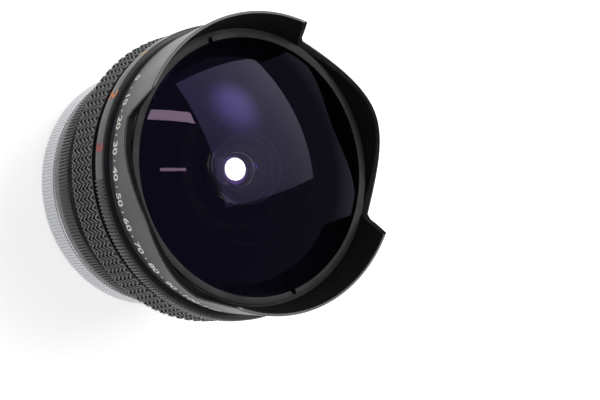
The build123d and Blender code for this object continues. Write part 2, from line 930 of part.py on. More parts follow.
with BuildPart() as third_glass:
    revolve(
        glass(
            third_rim,
            third_back_land + third_thickness,
            third_back_land,
            third_clear,
            fourth_clear,
            -third_front_curve,
            third_back_curve,
        ),
        axis=Axis.Z,
    )
finish(third_glass, "third_glass")

with BuildPart() as fourth_glass:
    revolve(
        glass(
            fourth_rim,
            fourth_back_land + fourth_thickness,
            fourth_back_land,
            fourth_clear,
            fourth_clear,
            -fourth_front_curve,
            fourth_back_curve,
        ),
        axis=Axis.Z,
    )
finish(fourth_glass, "fourth_glass")

# Clamp ring over the second glass
with BuildPart() as inner_clamp:
    revolve(
        section(
            (second_rim - clamp_lip, clamp_seat),
            (second_rim - clamp_lip, clamp_seat + clamp_thickness),
            (clamp_radius, clamp_seat + clamp_thickness),
            (clamp_radius, clamp_seat),
        ),
        axis=Axis.Z,
    )
finish(inner_clamp, "inner_clamp")

# Front cell: the stepped cup that holds the front group under the dome
with BuildPart() as front_cell:
    revolve(
        section(
            (fourth_clear, cell_rear),
            (fourth_clear, fourth_back_land),
            (fourth_rim + seat_fit, fourth_back_land),
            (fourth_rim + seat_fit, third_back_land),
            (third_rim + seat_fit, third_back_land),
            (third_rim + seat_fit, second_back_land),
            (second_rim + seat_fit, second_back_land),
            (second_rim + seat_fit, clamp_seat),
            (clamp_radius + seat_fit, clamp_seat),
            (clamp_radius + seat_fit, front_glass_back),
            (front_bore - slide_fit, front_glass_back),
            (front_bore - slide_fit, cell_seat_height),
            (cell_body_radius, cell_seat_height),
            (cell_body_radius, cell_rear),
        ),
        axis=Axis.Z,
    )
finish(front_cell, "front_cell")

# Hood: neck, lettering band and flared wall, cut away at both sides to leave the petals
tip_height = seat_to_tips
valley_height = 50.9
crest_height = 56.8
ramp_foot_height = 52.5
ramp_foot_half_width = 25.6
petal_half_angle = 41
valley_half_angle = 50
hood_wall = 1.1
hood_step_height = 1.3
hood_step = 0.9
hood_bevel = 0.3
hood_bore = front_barrel_radius + seat_fit
tip_radius = knurl_radius
petal_half_width = tip_radius * cos(radians(petal_half_angle))
valley_half_width = tip_radius * cos(radians(valley_half_angle))

with BuildPart() as hood:
    revolve(
        section(
            (hood_bore, hood_rear),
            (hood_bore, front_end_height + hood_step_height),
            (hood_bore + hood_step, front_end_height + hood_step_height + hood_bevel),
            (tip_radius - hood_wall, tip_height),
            (tip_radius, tip_height),
            (band_radius, band_rear + hood_bevel),
            (band_radius - hood_bevel, band_rear),
            (neck_radius, band_rear),
            (neck_radius, hood_rear),
        ),
        axis=Axis.Z,
    )
    with BuildSketch(Plane.YZ):
        with BuildLine():
            crest = Spline(
                (-valley_half_width, valley_height),
                (0, crest_height),
                (valley_half_width, valley_height),
                tangents=((1, 0), (1, 0), (1, 0)),
            )
            Polyline(
                crest @ 1,
                (ramp_foot_half_width, ramp_foot_height),
                (petal_half_width, tip_height),
                (petal_half_width, tip_height + overrun),
                (-petal_half_width, tip_height + overrun),
                (-petal_half_width, tip_height),
                (-ramp_foot_half_width, ramp_foot_height),
                crest @ 0,
            )
        make_face()
    extrude(amount=tip_radius + overrun, both=True, mode=Mode.SUBTRACT)
    for angle in hood_screw_angles:
        with BuildSketch(facing(hood_bore - overrun, angle, hood_screw_height)):
            Circle(hood_screw_radius + seat_fit)
        extrude(amount=neck_radius - hood_bore + overrun * 2, mode=Mode.SUBTRACT)
finish(hood, "hood")

# Grub screws in the neck of the hood
with BuildPart() as hood_screws:
    for angle in hood_screw_angles:
        with BuildSketch(
            facing(front_barrel_radius - hood_screw_depth + seat_fit, angle, hood_screw_height)
        ):
            Circle(hood_screw_radius)
        extrude(amount=neck_radius - front_barrel_radius + hood_screw_depth - seat_fit * 2)
finish(hood_screws, "hood_screws")

# Filter selector ring: smooth band with the filter marks, ribbed the rest of the way round
smooth_lead = 24
smooth_start = top - smooth_lead
smooth_span = 95.5
selector_teeth = 181
knurl_root_share = 0.8
knurl_tip_share = 0.45
selector_bevel = 0.35
knurl_foot = 0.05
selector_bore = front_barrel_radius + turn_fit

with BuildPart() as selector_ring:
    with BuildSketch(level(selector_rear + selector_bevel)):
        with BuildLine():
            ribs = toothed(
                selector_radius + knurl_foot,
                knurl_radius,
                selector_teeth,
                knurl_root_share,
                knurl_tip_share,
                smooth_start + smooth_span,
                360 - smooth_span,
            )
            back_steps = 30
            back_radius = (selector_radius + selector_bore) / 2
            back = [
                spot(back_radius, smooth_start - step * (360 - smooth_span) / back_steps)
                for step in range(back_steps + 1)
            ]
            Polyline(*ribs, *back, close=True)
        make_face()
    extrude(amount=selector_length - selector_bevel * 2)
    revolve(
        section(
            (selector_bore, selector_rear),
            (selector_bore, selector_front),
            (selector_radius - selector_bevel, selector_front),
            (selector_radius, selector_front - selector_bevel),
            (selector_radius, selector_rear + selector_bevel),
            (selector_radius - selector_bevel, selector_rear),
        ),
        axis=Axis.Z,
    )
    with BuildSketch(facing(0, selector_key_angle, selector_middle)):
        Circle(selector_key_radius + seat_fit)
    extrude(amount=knurl_radius + overrun, mode=Mode.SUBTRACT)
finish(selector_ring, "selector_ring")

# Selector key: the screw that joins the selector ring to the gear inside
gear_rim_wall = 1.5
gear_radius = gear_bore - turn_fit

with BuildPart() as selector_key:
    with BuildSketch(facing(gear_radius - gear_rim_wall, selector_key_angle, selector_middle)):
        Circle(selector_key_radius)
    extrude(amount=selector_radius - gear_radius + gear_rim_wall - selector_bevel)
finish(selector_key, "selector_key")

# Filter gear: the toothed ring that turns the turret
gear_thickness = 1.6
tooth_height_share = 0.6
tooth_depth_share = 0.85
tooth_root_share = 0.56
tooth_tip_share = 0.28
gear_pitch_radius = gear_teeth * gear_module / 2
gear_lift = ring_gap / 3

with BuildPart() as filter_gear:
    with BuildSketch(level(gear_rear + gear_lift)):
        Circle(gear_radius)
        with BuildLine():
            Polyline(
                *toothed(
                    gear_pitch_radius + gear_module * tooth_depth_share,
                    gear_pitch_radius - gear_module * tooth_height_share,
                    gear_teeth,
                    tooth_root_share,
                    tooth_tip_share,
                    turret_angle,
                ),
                close=True,
            )
        make_face(mode=Mode.SUBTRACT)
    extrude(amount=gear_thickness)
    with BuildSketch(level(gear_rear + gear_lift)):
        Circle(gear_radius)
        Circle(gear_radius - gear_rim_wall, mode=Mode.SUBTRACT)
    extrude(amount=selector_middle + selector_key_radius + ring_gap - gear_rear - gear_lift)
    with BuildSketch(facing(gear_radius - gear_rim_wall - overrun, selector_key_angle, selector_middle)):
        Circle(selector_key_radius + seat_fit)
    extrude(amount=gear_rim_wall + overrun * 2, mode=Mode.SUBTRACT)
finish(filter_gear, "filter_gear")

# Turret axle: the post on the deck that the turret turns on
axle_radius = 1.6
axle_collar_radius = 2.8
axle_head_radius = 2.4
axle_head_height = 0.5
gear_front = gear_rear + gear_lift + gear_thickness

with BuildPart() as turret_axle:
    with BuildSketch(level(deck_rear)):
        with Locations(turret_place):
            Circle(axle_foot_radius)
    extrude(amount=deck_thickness)
    with BuildSketch(level(deck_front)):
        with Locations(turret_place):
            Circle(axle_collar_radius)
    extrude(amount=turret_rear - deck_front - gear_lift)
    with BuildSketch(level(deck_front)):
        with Locations(turret_place):
            Circle(axle_radius)
    extrude(amount=gear_front - deck_front + gear_lift)
    with BuildSketch(level(gear_front + gear_lift)):
        with Locations(turret_place):
            Circle(axle_head_radius)
    extrude(amount=axle_head_height)
finish(turret_axle, "turret_axle")

# Filter turret: the disc with four pockets
filter_lip = 0.5
axle_bore = axle_radius + turn_fit
filter_places = []
for number in range(len(filter_names)):
    dx, dy = spot(turret_offset, turret_angle + 180 + number * 360 / len(filter_names))
    filter_places.append((turret_place[0] + dx, turret_place[1] + dy))

with BuildPart() as filter_turret:
    with BuildSketch(level(turret_rear)):
        with Locations(turret_place):
            Circle(turret_radius)
            Circle(axle_bore, mode=Mode.SUBTRACT)
        with Locations(*filter_places):
            Circle(filter_radius - filter_lip, mode=Mode.SUBTRACT)
    extrude(amount=turret_thickness)
    with BuildSketch(level(turret_rear + filter_lip)):
        with Locations(*filter_places):
            Circle(filter_radius + seat_fit)
    extrude(amount=turret_thickness, mode=Mode.SUBTRACT)
finish(filter_turret, "filter_turret")

# Pinion on the front of the turret
with BuildPart() as turret_pinion:
    with BuildSketch(Plane(origin=(*turret_place, turret_front), z_dir=(0, 0, 1))):
        with BuildLine():
            Polyline(
                *toothed(
                    turret_teeth * gear_module / 2 - gear_module * tooth_depth_share,
                    turret_teeth * gear_module / 2 + gear_module * tooth_height_share,
                    turret_teeth,
                    tooth_root_share,
                    tooth_tip_share,
                    turret_angle - 180 / turret_teeth,
                ),
                close=True,
            )
        make_face()
        Circle(axle_bore, mode=Mode.SUBTRACT)
    extrude(amount=gear_front - turret_front)
finish(turret_pinion, "turret_pinion")

# Four filters: clear, yellow, orange and red
for name, place in zip(filter_names, filter_places):
    with BuildPart() as colour_filter:
        with BuildSketch(level(turret_rear + filter_lip)):
            with Locations(place):
                Circle(filter_radius)
        extrude(amount=filter_thickness)
    finish(colour_filter, name)

# Iris: six blades, each in its own layer, turned about pins by the slots of the drive ring
blade_count = 6
iris_open_radius = 6.4
iris_smallest_radius = 0.8
blade_outer_radius = 12.6
blade_span = 150
pivot_radius = 14.6
pivot_boss = 1.3
pivot_start = 20
blade_thickness = 0.1
blade_layer = 0.15
pin_radius = 0.38
pin_fit = 0.04
drive_pin_radius_place = 13.9
drive_pin_ahead = 14
iris_plate_thickness = 1.2
iris_plate_bore = 6.9
iris_wall = 1.3
drive_ring_thickness = 1.2
drive_ring_bore = 8.2
drive_ring_radius = 16.6
drive_gap = 0.2
blade_turn = degrees(2 * asin((iris_open_radius - iris_smallest_radius) / (2 * pivot_radius)))
iris_plate_rear = deck_rear - iris_plate_thickness
drive_ring_front = iris_plate_rear - blade_layer * (blade_count + 1)
drive_ring_rear = drive_ring_front - drive_ring_thickness
rear_flange_front = drive_ring_rear - drive_gap
rear_flange_thickness = 1.3
rear_flange_rear = rear_flange_front - rear_flange_thickness
housing_bore = drive_ring_radius + clear_gap
housing_radius = housing_bore + iris_wall
arm_margin = degrees((arm_width / 2 + lever_slot_margin) / housing_bore)

with BuildPart() as iris_housing:
    revolve(
        section(
            (iris_plate_bore, iris_plate_rear),
            (iris_plate_bore, deck_rear),
            (housing_radius, deck_rear),
            (housing_radius, rear_flange_rear),
            (housing_bore, rear_flange_rear),
            (housing_bore, iris_plate_rear),
        ),
        axis=Axis.Z,
    )
    with BuildSketch(level(iris_plate_rear)):
        with PolarLocations(pivot_radius, blade_count, pivot_start):
            Circle(pin_radius + pin_fit)
    extrude(amount=iris_plate_thickness, mode=Mode.SUBTRACT)
    with BuildSketch(level(rear_flange_rear)):
        add(
            sector(
                housing_bore - overrun,
                housing_radius + overrun,
                auto_angle - arm_margin,
                auto_turn + arm_margin * 2,
            )
        )
    extrude(amount=drive_ring_front + drive_gap - rear_flange_rear, mode=Mode.SUBTRACT)
finish(iris_housing, "iris_housing")


def turned_pin(turn):
    """Drive pin's place on the first blade after the blade has turned about its pivot."""
    pivot = spot(pivot_radius, pivot_start)
    pin = spot(drive_pin_radius_place, pivot_start + drive_pin_ahead)
    reach = hypot(pin[0] - pivot[0], pin[1] - pivot[1])
    heading = degrees(atan2(pin[1] - pivot[1], pin[0] - pivot[0]))
    arm = spot(reach, heading + turn)
    return (pivot[0] + arm[0], pivot[1] + arm[1])


def in_drive_ring(point, turn):
    """The same place seen from the drive ring, which has turned too."""
    radius = hypot(*point)
    return spot(radius, degrees(atan2(point[1], point[0])) - turn)


# Drive ring: its slots push the blades, and its long arm reaches back to the lever's fork
slot_ease = 0.08
turn_shares = (0, 0.5, 1)
slot_points = [
    in_drive_ring(turned_pin(blade_turn * share), auto_turn * share) for share in turn_shares
]

with BuildPart() as iris_drive:
    with BuildSketch(level(drive_ring_rear)):
        Circle(drive_ring_radius)
        Circle(drive_ring_bore, mode=Mode.SUBTRACT)
        with PolarLocations(0, blade_count, 0):
            SlotArc(
                arc=ThreePointArc(*slot_points, mode=Mode.PRIVATE),
                height=(pin_radius + slot_ease) * 2,
                mode=Mode.SUBTRACT,
            )
        with PolarLocations((drive_ring_radius + lever_outer) / 2 - turn_fit, 1, auto_angle):
            Rectangle(lever_outer - drive_ring_radius + turn_fit * 2, arm_width)
    extrude(amount=drive_ring_thickness)
    with BuildSketch(level(fork_front - lever_width)):
        with PolarLocations(lever_middle, 1, auto_angle):
            Rectangle(lever_outer - lever_inner, arm_width)
    extrude(amount=drive_ring_rear - fork_front + lever_width + drive_ring_thickness)
finish(iris_drive, "iris_drive")

for blade in range(blade_count):
    blade_angle = pivot_start + blade * 360 / blade_count
    blade_top = iris_plate_rear - blade_layer * (blade + 1) + blade_thickness / 2
    pin_angle = blade_angle + drive_pin_ahead
    with BuildPart() as iris_blade:
        with BuildSketch(level(blade_top - blade_thickness)):
            add(sector(iris_open_radius, blade_outer_radius, blade_angle, blade_span))
            with Locations(spot(pivot_radius, blade_angle), spot(drive_pin_radius_place, pin_angle)):
                Circle(pivot_boss / 2 + pin_radius / 2)
            with BuildLine():
                Polyline(
                    spot(blade_outer_radius - pivot_boss, blade_angle + drive_pin_ahead / 4),
                    spot(pivot_radius, blade_angle),
                    spot(drive_pin_radius_place, pin_angle),
                    spot(blade_outer_radius - pivot_boss, pin_angle),
                    close=True,
                )
            make_face()
        extrude(amount=blade_thickness)
        with BuildSketch(level(blade_top)):
            with Locations(spot(pivot_radius, blade_angle)):
                Circle(pin_radius)
        extrude(amount=deck_rear - blade_top - drive_gap)
        with BuildSketch(level(drive_ring_rear + drive_gap)):
            with Locations(spot(drive_pin_radius_place, pin_angle)):
                Circle(pin_radius)
        extrude(amount=blade_top - drive_ring_rear - drive_gap)
    finish(iris_blade, f"iris_blade_{blade + 1}")

# Rear cell: the tube behind the iris with the rear group
rear_cell_radius = 15.5
rear_cell_end = 1.5
rear_stop = 8.2
near_rim = 9.5
middle_rim = 11.0
last_rim = 12.9
near_clear = 8.0
middle_clear = 8.8
last_clear = 10.8
near_seat = rear_flange_front - 2.6
near_thickness = 2.2
near_curve = 24.0
middle_seat = 19.0
middle_thickness = 5.0
middle_curve = 26.0
last_seat = 7.0
last_thickness = 3.2
last_front_curve = 40.0
last_back_curve = 60.0
spacer_length = 4.6
rear_ring_thickness = 0.9
rear_ring_wall = 1.4

with BuildPart() as rear_cell:
    revolve(
        section(
            (rear_stop, rear_flange_front),
            (housing_bore - seat_fit, rear_flange_front),
            (housing_bore - seat_fit, rear_flange_rear),
            (rear_cell_radius, rear_flange_rear),
            (rear_cell_radius, -rear_cell_end),
            (last_rim + seat_fit, -rear_cell_end),
            (last_rim + seat_fit, last_seat),
            (middle_rim + seat_fit, last_seat),
            (middle_rim + seat_fit, middle_seat),
            (near_rim + seat_fit, middle_seat),
            (near_rim + seat_fit, near_seat),
            (rear_stop, near_seat),
        ),
        axis=Axis.Z,
    )
finish(rear_cell, "rear_cell")

with BuildPart() as fifth_glass:
    revolve(
        glass(
            near_rim,
            near_seat,
            near_seat - near_thickness,
            near_clear,
            near_clear,
            near_curve,
            near_curve,
        ),
        axis=Axis.Z,
    )
finish(fifth_glass, "fifth_glass")

with BuildPart() as sixth_glass:
    revolve(
        glass(
            middle_rim,
            middle_seat,
            middle_seat - middle_thickness,
            middle_clear,
            middle_clear,
            middle_curve,
            middle_curve,
        ),
        axis=Axis.Z,
    )
finish(sixth_glass, "sixth_glass")

# Spacer tube between the fifth and the sixth glass
with BuildPart() as middle_spacer:
    with BuildSketch(level(middle_seat)):
        Circle(near_rim)
        Circle(middle_clear, mode=Mode.SUBTRACT)
    extrude(amount=near_seat - near_thickness - middle_seat)
finish(middle_spacer, "middle_spacer")

# Spacer tube between the sixth glass and the last one
with BuildPart() as rear_spacer:
    with BuildSketch(level(middle_seat - middle_thickness)):
        Circle(middle_rim)
        Circle(middle_clear, mode=Mode.SUBTRACT)
    extrude(amount=-spacer_length)
finish(rear_spacer, "rear_spacer")

with BuildPart() as last_glass:
    revolve(
        glass(
            last_rim,
            last_seat,
            last_seat - last_thickness,
            last_clear,
            last_clear,
            last_front_curve,
            last_back_curve,
        ),
        axis=Axis.Z,
    )
finish(last_glass, "last_glass")

# Rear ring that holds the last glass, with two notches for a spanner
with BuildPart() as rear_ring:
    with BuildSketch(level(last_seat - last_thickness)):
        Circle(last_rim)
        Circle(last_rim - rear_ring_wall, mode=Mode.SUBTRACT)
    extrude(amount=-rear_ring_thickness)
    with BuildSketch(level(last_seat - last_thickness - rear_ring_thickness)):
        with PolarLocations(last_rim - rear_ring_wall / 2, 2, 0):
            Rectangle(rear_ring_wall * 2, notch_width)
    extrude(amount=rear_ring_thickness / 2, mode=Mode.SUBTRACT)
finish(rear_ring, "rear_ring")
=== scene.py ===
# %% [markdown]
# # A fisheye lens, dressed in Blender
# The lens was drawn first in CAD as sixty-six separate solids under fifty-five names,
# from the chromed breech ring at the back to the cut-away shade at the front. Here each
# of them gets the finish of the real material, and the pieces whose surface is finer
# than CAD needs (knurls, moulded grip, polished glass) get a denser mesh of that size.

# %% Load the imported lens
from math import cos, degrees, pi, radians, sin

import bmesh
import bpy
import numpy as np
from mathutils import Matrix, Vector


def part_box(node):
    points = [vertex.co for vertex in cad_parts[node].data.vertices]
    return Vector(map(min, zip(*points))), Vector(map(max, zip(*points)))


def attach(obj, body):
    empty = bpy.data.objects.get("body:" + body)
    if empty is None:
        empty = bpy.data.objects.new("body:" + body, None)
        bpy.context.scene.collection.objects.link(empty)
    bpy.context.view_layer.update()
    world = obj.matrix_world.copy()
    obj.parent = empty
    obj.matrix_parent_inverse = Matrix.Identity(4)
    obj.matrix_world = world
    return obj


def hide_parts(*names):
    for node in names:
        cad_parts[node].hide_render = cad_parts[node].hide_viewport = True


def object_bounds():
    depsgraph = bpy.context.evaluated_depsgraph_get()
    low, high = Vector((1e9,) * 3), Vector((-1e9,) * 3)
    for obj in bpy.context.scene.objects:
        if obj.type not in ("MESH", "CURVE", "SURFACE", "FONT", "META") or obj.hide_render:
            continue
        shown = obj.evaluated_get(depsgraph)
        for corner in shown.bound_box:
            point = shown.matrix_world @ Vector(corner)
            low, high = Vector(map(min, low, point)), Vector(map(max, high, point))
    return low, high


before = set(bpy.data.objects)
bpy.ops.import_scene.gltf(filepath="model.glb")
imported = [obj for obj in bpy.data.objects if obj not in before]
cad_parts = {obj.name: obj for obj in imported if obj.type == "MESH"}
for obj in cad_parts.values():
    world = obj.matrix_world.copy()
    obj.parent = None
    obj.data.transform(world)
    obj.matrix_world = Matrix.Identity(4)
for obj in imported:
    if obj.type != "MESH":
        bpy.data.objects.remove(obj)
cad_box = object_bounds()
MM = 0.001
print("CAD nodes:", len(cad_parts), "box in mm:", [list(v * 1000) for v in cad_box])


# %% [markdown]
# ## The camera
# The photograph looks down the barrel from above and to one side. Its angle was
# worked out from the circle through the tips of the shade, seen as an ellipse. A long
# lens was used, because the circle is hardly wider at the near side, and a plain
# matrix of the camera's three directions says its place without any turning by hand.

# %% Camera
camera_place = (-0.337845, 0.068415, 0.572962)
camera_right = (0.75283, -0.35149, 0.55651)
camera_up = (0.36155, 0.92733, 0.0966)
camera_back = (-0.55002, 0.12848, 0.82521)
focal_length = 150.0

camera_data = bpy.data.cameras.new("camera")
camera_data.lens = focal_length
camera_data.sensor_width = 36.0
camera_data.clip_start = 0.01
camera = bpy.data.objects.new("camera", camera_data)
bpy.context.scene.collection.objects.link(camera)
camera.matrix_world = Matrix(
    [[*axes, place] for *axes, place in zip(camera_right, camera_up, camera_back, camera_place)]
    + [[0, 0, 0, 1]]
)
bpy.context.scene.camera = camera
bpy.context.scene.view_settings.view_transform = "Standard"
print("camera stands", round(Vector(camera_place).length, 3), "m from the mount")


# %% [markdown]
# ## From a grid of points to a piece
# Nearly every part of a lens is turned on a lathe, so it is a profile carried round
# the axis. The profile is an array of (radius, height) corners in millimetres, and
# numpy turns it into a whole grid of points at once, with no loop over vertices.
# A lathe never leaves a knife edge, so each corner is first rounded a little.


# %% Round the corners of a profile
def soften(corners, reach, steps=3, closed=True):
    """Each corner P becomes a short curve (1-t)^2 A + 2t(1-t) P + t^2 B.
    A and B lie on the two sides of the corner, reach away or half the side's length."""
    points = np.asarray(corners, float)
    back, ahead = np.roll(points, 1, 0) - points, np.roll(points, -1, 0) - points
    length_back = np.maximum(np.linalg.norm(back[:, :2], axis=1), 1e-9)[:, None]
    length_ahead = np.maximum(np.linalg.norm(ahead[:, :2], axis=1), 1e-9)[:, None]
    start = points + back * np.minimum(reach / length_back, 0.5)
    end = points + ahead * np.minimum(reach / length_ahead, 0.5)
    t = np.linspace(0, 1, steps)[None, :, None]
    rounded = (
        (1 - t) ** 2 * start[:, None] + 2 * t * (1 - t) * points[:, None] + t**2 * end[:, None]
    )
    if not closed:
        rounded[0], rounded[-1] = points[0], points[-1]
    return rounded.reshape(-1, points.shape[1])


# %% Carry a profile round the lens axis
def turned(profile, columns=256, angles=None, rise=0.0):
    """Point (row, column) is (R cos a, R sin a, z), with R = r + share * rise(a).
    A profile row is (r, z) or (r, z, share), and share says how far the ribs lift it."""
    profile = np.asarray(profile, float)
    if angles is None:
        angles = np.linspace(0, 2 * pi, columns, endpoint=False)
    share = profile[:, 2:3] if profile.shape[1] > 2 else np.zeros((len(profile), 1))
    radius = profile[:, :1] + share * rise
    height = np.repeat(profile[:, 1:2], len(angles), axis=1)
    radius = np.broadcast_to(radius, height.shape)
    return np.stack([radius * np.cos(angles), radius * np.sin(angles), height], axis=-1)


# %% Make the mesh of a grid
def surface(name, grid, body, material, nodes=(), closed_rows=True, closed_columns=True,
            crease=32.0):
    """Neighbours in the grid become four-sided faces, and the last row or column joins
    the first where the grid is closed. Doubles merge at poles, then normals turn out."""
    rows, columns = grid.shape[:2]
    r = np.arange(rows if closed_rows else rows - 1)[:, None]
    c = np.arange(columns if closed_columns else columns - 1)[None, :]
    r_next, c_next = (r + 1) % rows, (c + 1) % columns
    faces = np.stack(
        [r * columns + c, r * columns + c_next, r_next * columns + c_next, r_next * columns + c],
        axis=-1,
    ).reshape(-1, 4)
    mesh = bpy.data.meshes.new(name)
    mesh.from_pydata((grid.reshape(-1, 3) * MM).tolist(), [], faces.tolist())
    return finish_piece(name, mesh, body, material, nodes, crease)


def finish_piece(name, mesh, body, material, nodes=(), crease=32.0):
    """Merges doubles, points the faces outwards, shades smooth up to the crease angle,
    gives the piece its material, hangs it on its CAD body and hides the CAD nodes it replaces."""
    work = bmesh.new()
    work.from_mesh(mesh)
    bmesh.ops.remove_doubles(work, verts=work.verts, dist=2e-6)
    bmesh.ops.dissolve_degenerate(work, edges=work.edges, dist=1e-7)
    bmesh.ops.recalc_face_normals(work, faces=work.faces)
    work.to_mesh(mesh)
    work.free()
    mesh.shade_smooth()
    mesh.set_sharp_from_angle(angle=radians(crease))
    mesh.materials.append(material)
    piece = bpy.data.objects.new(name, mesh)
    bpy.context.scene.collection.objects.link(piece)
    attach(piece, body)
    if nodes:
        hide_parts(*nodes)
    mesh.calc_loop_triangles()
    print(f"{name}: {len(mesh.vertices)} vertices, {len(mesh.loop_triangles)} triangles")
    return piece


# %% [markdown]
# ## Materials: a few small helpers
# A finish is a small graph of nodes. One helper adds a node with its settings and its
# links, and one turns the hex colours of a paint chart to the linear values that
# Blender works with. Every finish below starts from `finish`, which makes the
# Principled shader that stands for the bare material, and two more helpers give it
# grain and worn edges.


# %% Colour and node helpers
def linear(hex_colour):
    """sRGB to linear: c / 12.92 in the darkest part, ((c + 0.055) / 1.055)^2.4 above."""
    values = np.array([int(hex_colour[i:i + 2], 16) / 255 for i in (1, 3, 5)])
    converted = np.where(values <= 0.04045, values / 12.92, ((values + 0.055) / 1.055) ** 2.4)
    return (*converted.tolist(), 1.0)


def add_node(tree, kind, inputs=None, **settings):
    """Adds a node: settings go on the node, inputs on its sockets by name or number.
    An output socket given as an input is linked, anything else is a plain value."""
    node = tree.nodes.new(kind)
    for key, value in settings.items():
        setattr(node, key, value)
    for key, value in (inputs or {}).items():
        if isinstance(value, bpy.types.NodeSocket):
            tree.links.new(value, node.inputs[key])
        else:
            node.inputs[key].default_value = value
    return node


def finish(name, colour, **sockets):
    """A material with one Principled shader in that colour and those plain values."""
    material = bpy.data.materials.new(name)
    material.use_nodes = True
    tree = material.node_tree
    tree.nodes.clear()
    inputs = {key.replace("_", " "): value for key, value in sockets.items()}
    shader = add_node(tree, "ShaderNodeBsdfPrincipled", {"Base Color": linear(colour), **inputs})
    add_node(tree, "ShaderNodeOutputMaterial", {"Surface": shader.outputs["BSDF"]})
    print("finish:", name)
    return material, tree, shader


def combined(tree, operation, first, second):
    """What a Math node makes of two numbers, each a plain value or an output socket."""
    node = add_node(tree, "ShaderNodeMath", {0: first, 1: second}, operation=operation)
    return node.outputs["Value"]


def roughen(tree, shader, pitch, depth, low, high, stretch=(1.0, 1.0, 1.0)):
    """Grain that is pitch metres wide and depth metres deep, with roughness from low to
    high over patches forty times as wide. Along an axis whose stretch is above 1 the
    grain is that much finer."""
    place = add_node(tree, "ShaderNodeTexCoord").outputs["Object"]
    squeezed = add_node(tree, "ShaderNodeMapping", {"Vector": place, "Scale": stretch})
    grain = add_node(tree, "ShaderNodeTexNoise", {
        "Vector": squeezed.outputs["Vector"], "Scale": 1 / pitch, "Detail": 2.0})
    bump = add_node(tree, "ShaderNodeBump", {
        "Height": grain.outputs["Fac"], "Distance": depth, "Strength": 1.0})
    tree.links.new(bump.outputs["Normal"], shader.inputs["Normal"])
    patches = add_node(tree, "ShaderNodeTexNoise", {
        "Vector": place, "Scale": 1 / (40 * pitch), "Detail": 3.0})
    spread = add_node(tree, "ShaderNodeMapRange", {
        "Value": patches.outputs["Fac"], "From Min": 0.3, "From Max": 0.7,
        "To Min": low, "To Max": high})
    tree.links.new(spread.outputs["Result"], shader.inputs["Roughness"])


def worn_edges(tree, shader, colour, worn, sharpness=0.62):
    """Where the mesh is convex, at its edges, the coat is rubbed thin and the colour
    runs from the coat's own to that of the metal beneath."""
    bend = add_node(tree, "ShaderNodeNewGeometry").outputs["Pointiness"]
    edge = add_node(tree, "ShaderNodeMapRange", {
        "Value": bend, "From Min": 0.52, "From Max": sharpness})
    mix = add_node(tree, "ShaderNodeMix", {
        "Factor": edge.outputs["Result"], "A": linear(colour), "B": linear(worn)},
        data_type="RGBA")
    tree.links.new(mix.outputs["Result"], shader.inputs["Base Color"])


# %% [markdown]
# ## Black anodised aluminium
# The barrel rings are turned aluminium, beaded to a soft matt and anodised black. The
# dye sits in a clear oxide, so the ring is a dark dielectric with a satin gloss rather
# than a bare metal, a touch cooler than paint. Beading leaves pits of about a twentieth
# of a millimetre, drawn at 0.12 mm so that they still show as a faint sparkle. Rings
# that sit deeper are beaded coarser, and what faces the light path gets a flat lacquer.
# The two rings that carry the scales, behind the grip, are made almost black and flat:
# that is painted shade, standing in for the shadow that the grip casts on them.

# %% Anodised rings
anodised, tree, shader = finish(
    "black_anodised_aluminium", "#232427", Metallic=0.0, IOR=1.62, Roughness=0.38)
roughen(tree, shader, 0.00012, 0.000004, 0.32, 0.42)

anodised_inside, tree, shader = finish(
    "matt_black_anodised_aluminium", "#0b0b0c", IOR=1.5, Roughness=0.6, Specular_IOR_Level=0.36)
roughen(tree, shader, 0.00015, 0.000006, 0.5, 0.65)

# Painted shade: a near-black, flat copy of the anodised finish, standing in for the grip's shadow
# on the scale rings.
scale_black_painted_shade, tree, shader = finish(
    "flat_black_anodised_painted_shade", "#070708", IOR=1.45, Roughness=0.75, Specular_IOR_Level=0.15)
roughen(tree, shader, 0.00015, 0.000004, 0.66, 0.84)

light_trap, tree, shader = finish(
    "flat_black_light_trap_lacquer", "#060607", IOR=1.45, Roughness=0.8, Specular_IOR_Level=0.2)
roughen(tree, shader, 0.0001, 0.000004, 0.7, 0.9)

# %% [markdown]
# ## Satin black enamel
# The shade is painted: a baked enamel with a satin gloss and a slight orange peel
# of some 0.4 mm. It is the first thing a hand touches, so its edges are rubbed to a
# lighter grey.

# %% Enamelled shade
enamel, tree, shader = finish("satin_black_baked_enamel", "#26272a", IOR=1.5, Roughness=0.4)
roughen(tree, shader, 0.0004, 0.000003, 0.34, 0.44)
worn_edges(tree, shader, "#26272a", "#6a6b6e", 0.66)

# %% [markdown]
# ## Moulded rubber
# The focus grip is a moulded rubber sleeve. Rubber scatters light widely and has no
# sharp gloss, and handling leaves it greyer on top of each tooth than in the grooves.

# %% Rubber grip
rubber, tree, shader = finish("moulded_black_rubber", "#1c1d1e", IOR=1.52, Roughness=0.46)
roughen(tree, shader, 0.0002, 0.000006, 0.4, 0.52)
worn_edges(tree, shader, "#1c1d1e", "#8b8c8f", 0.57)

# %% [markdown]
# ## Chromed brass
# The breech ring and the mount are brass plated with satin chrome: a pale, slightly
# cool metal whose brushing runs round the ring, so its grain is squeezed along the
# axis. A polished chrome is the same metal with a low roughness.

# %% Chrome finishes
satin_chrome, tree, shader = finish(
    "satin_chromed_brass", "#c8c9cc", Metallic=1.0, Roughness=0.34)
roughen(tree, shader, 0.0003, 0.000003, 0.3, 0.4, (0.2, 0.2, 3.0))

bright_chrome, tree, shader = finish(
    "polished_chromed_brass", "#b9babd", Metallic=1.0, Roughness=0.16)
roughen(tree, shader, 0.0002, 0.000001, 0.1, 0.18)

# %% [markdown]
# ## Screws, springs, brass and steel
# Small pieces are seen only when the lens is turned round, yet each is its own metal:
# blackened steel screws, bright steel levers, thin spring-steel iris blades with a dull
# blue-black oxide, and yellow turned brass for the filter gears.

# %% Small metals
blackened_steel, tree, shader = finish(
    "blackened_steel", "#2a2a2c", Metallic=0.7, Roughness=0.35)
roughen(tree, shader, 0.00015, 0.000003, 0.3, 0.45)

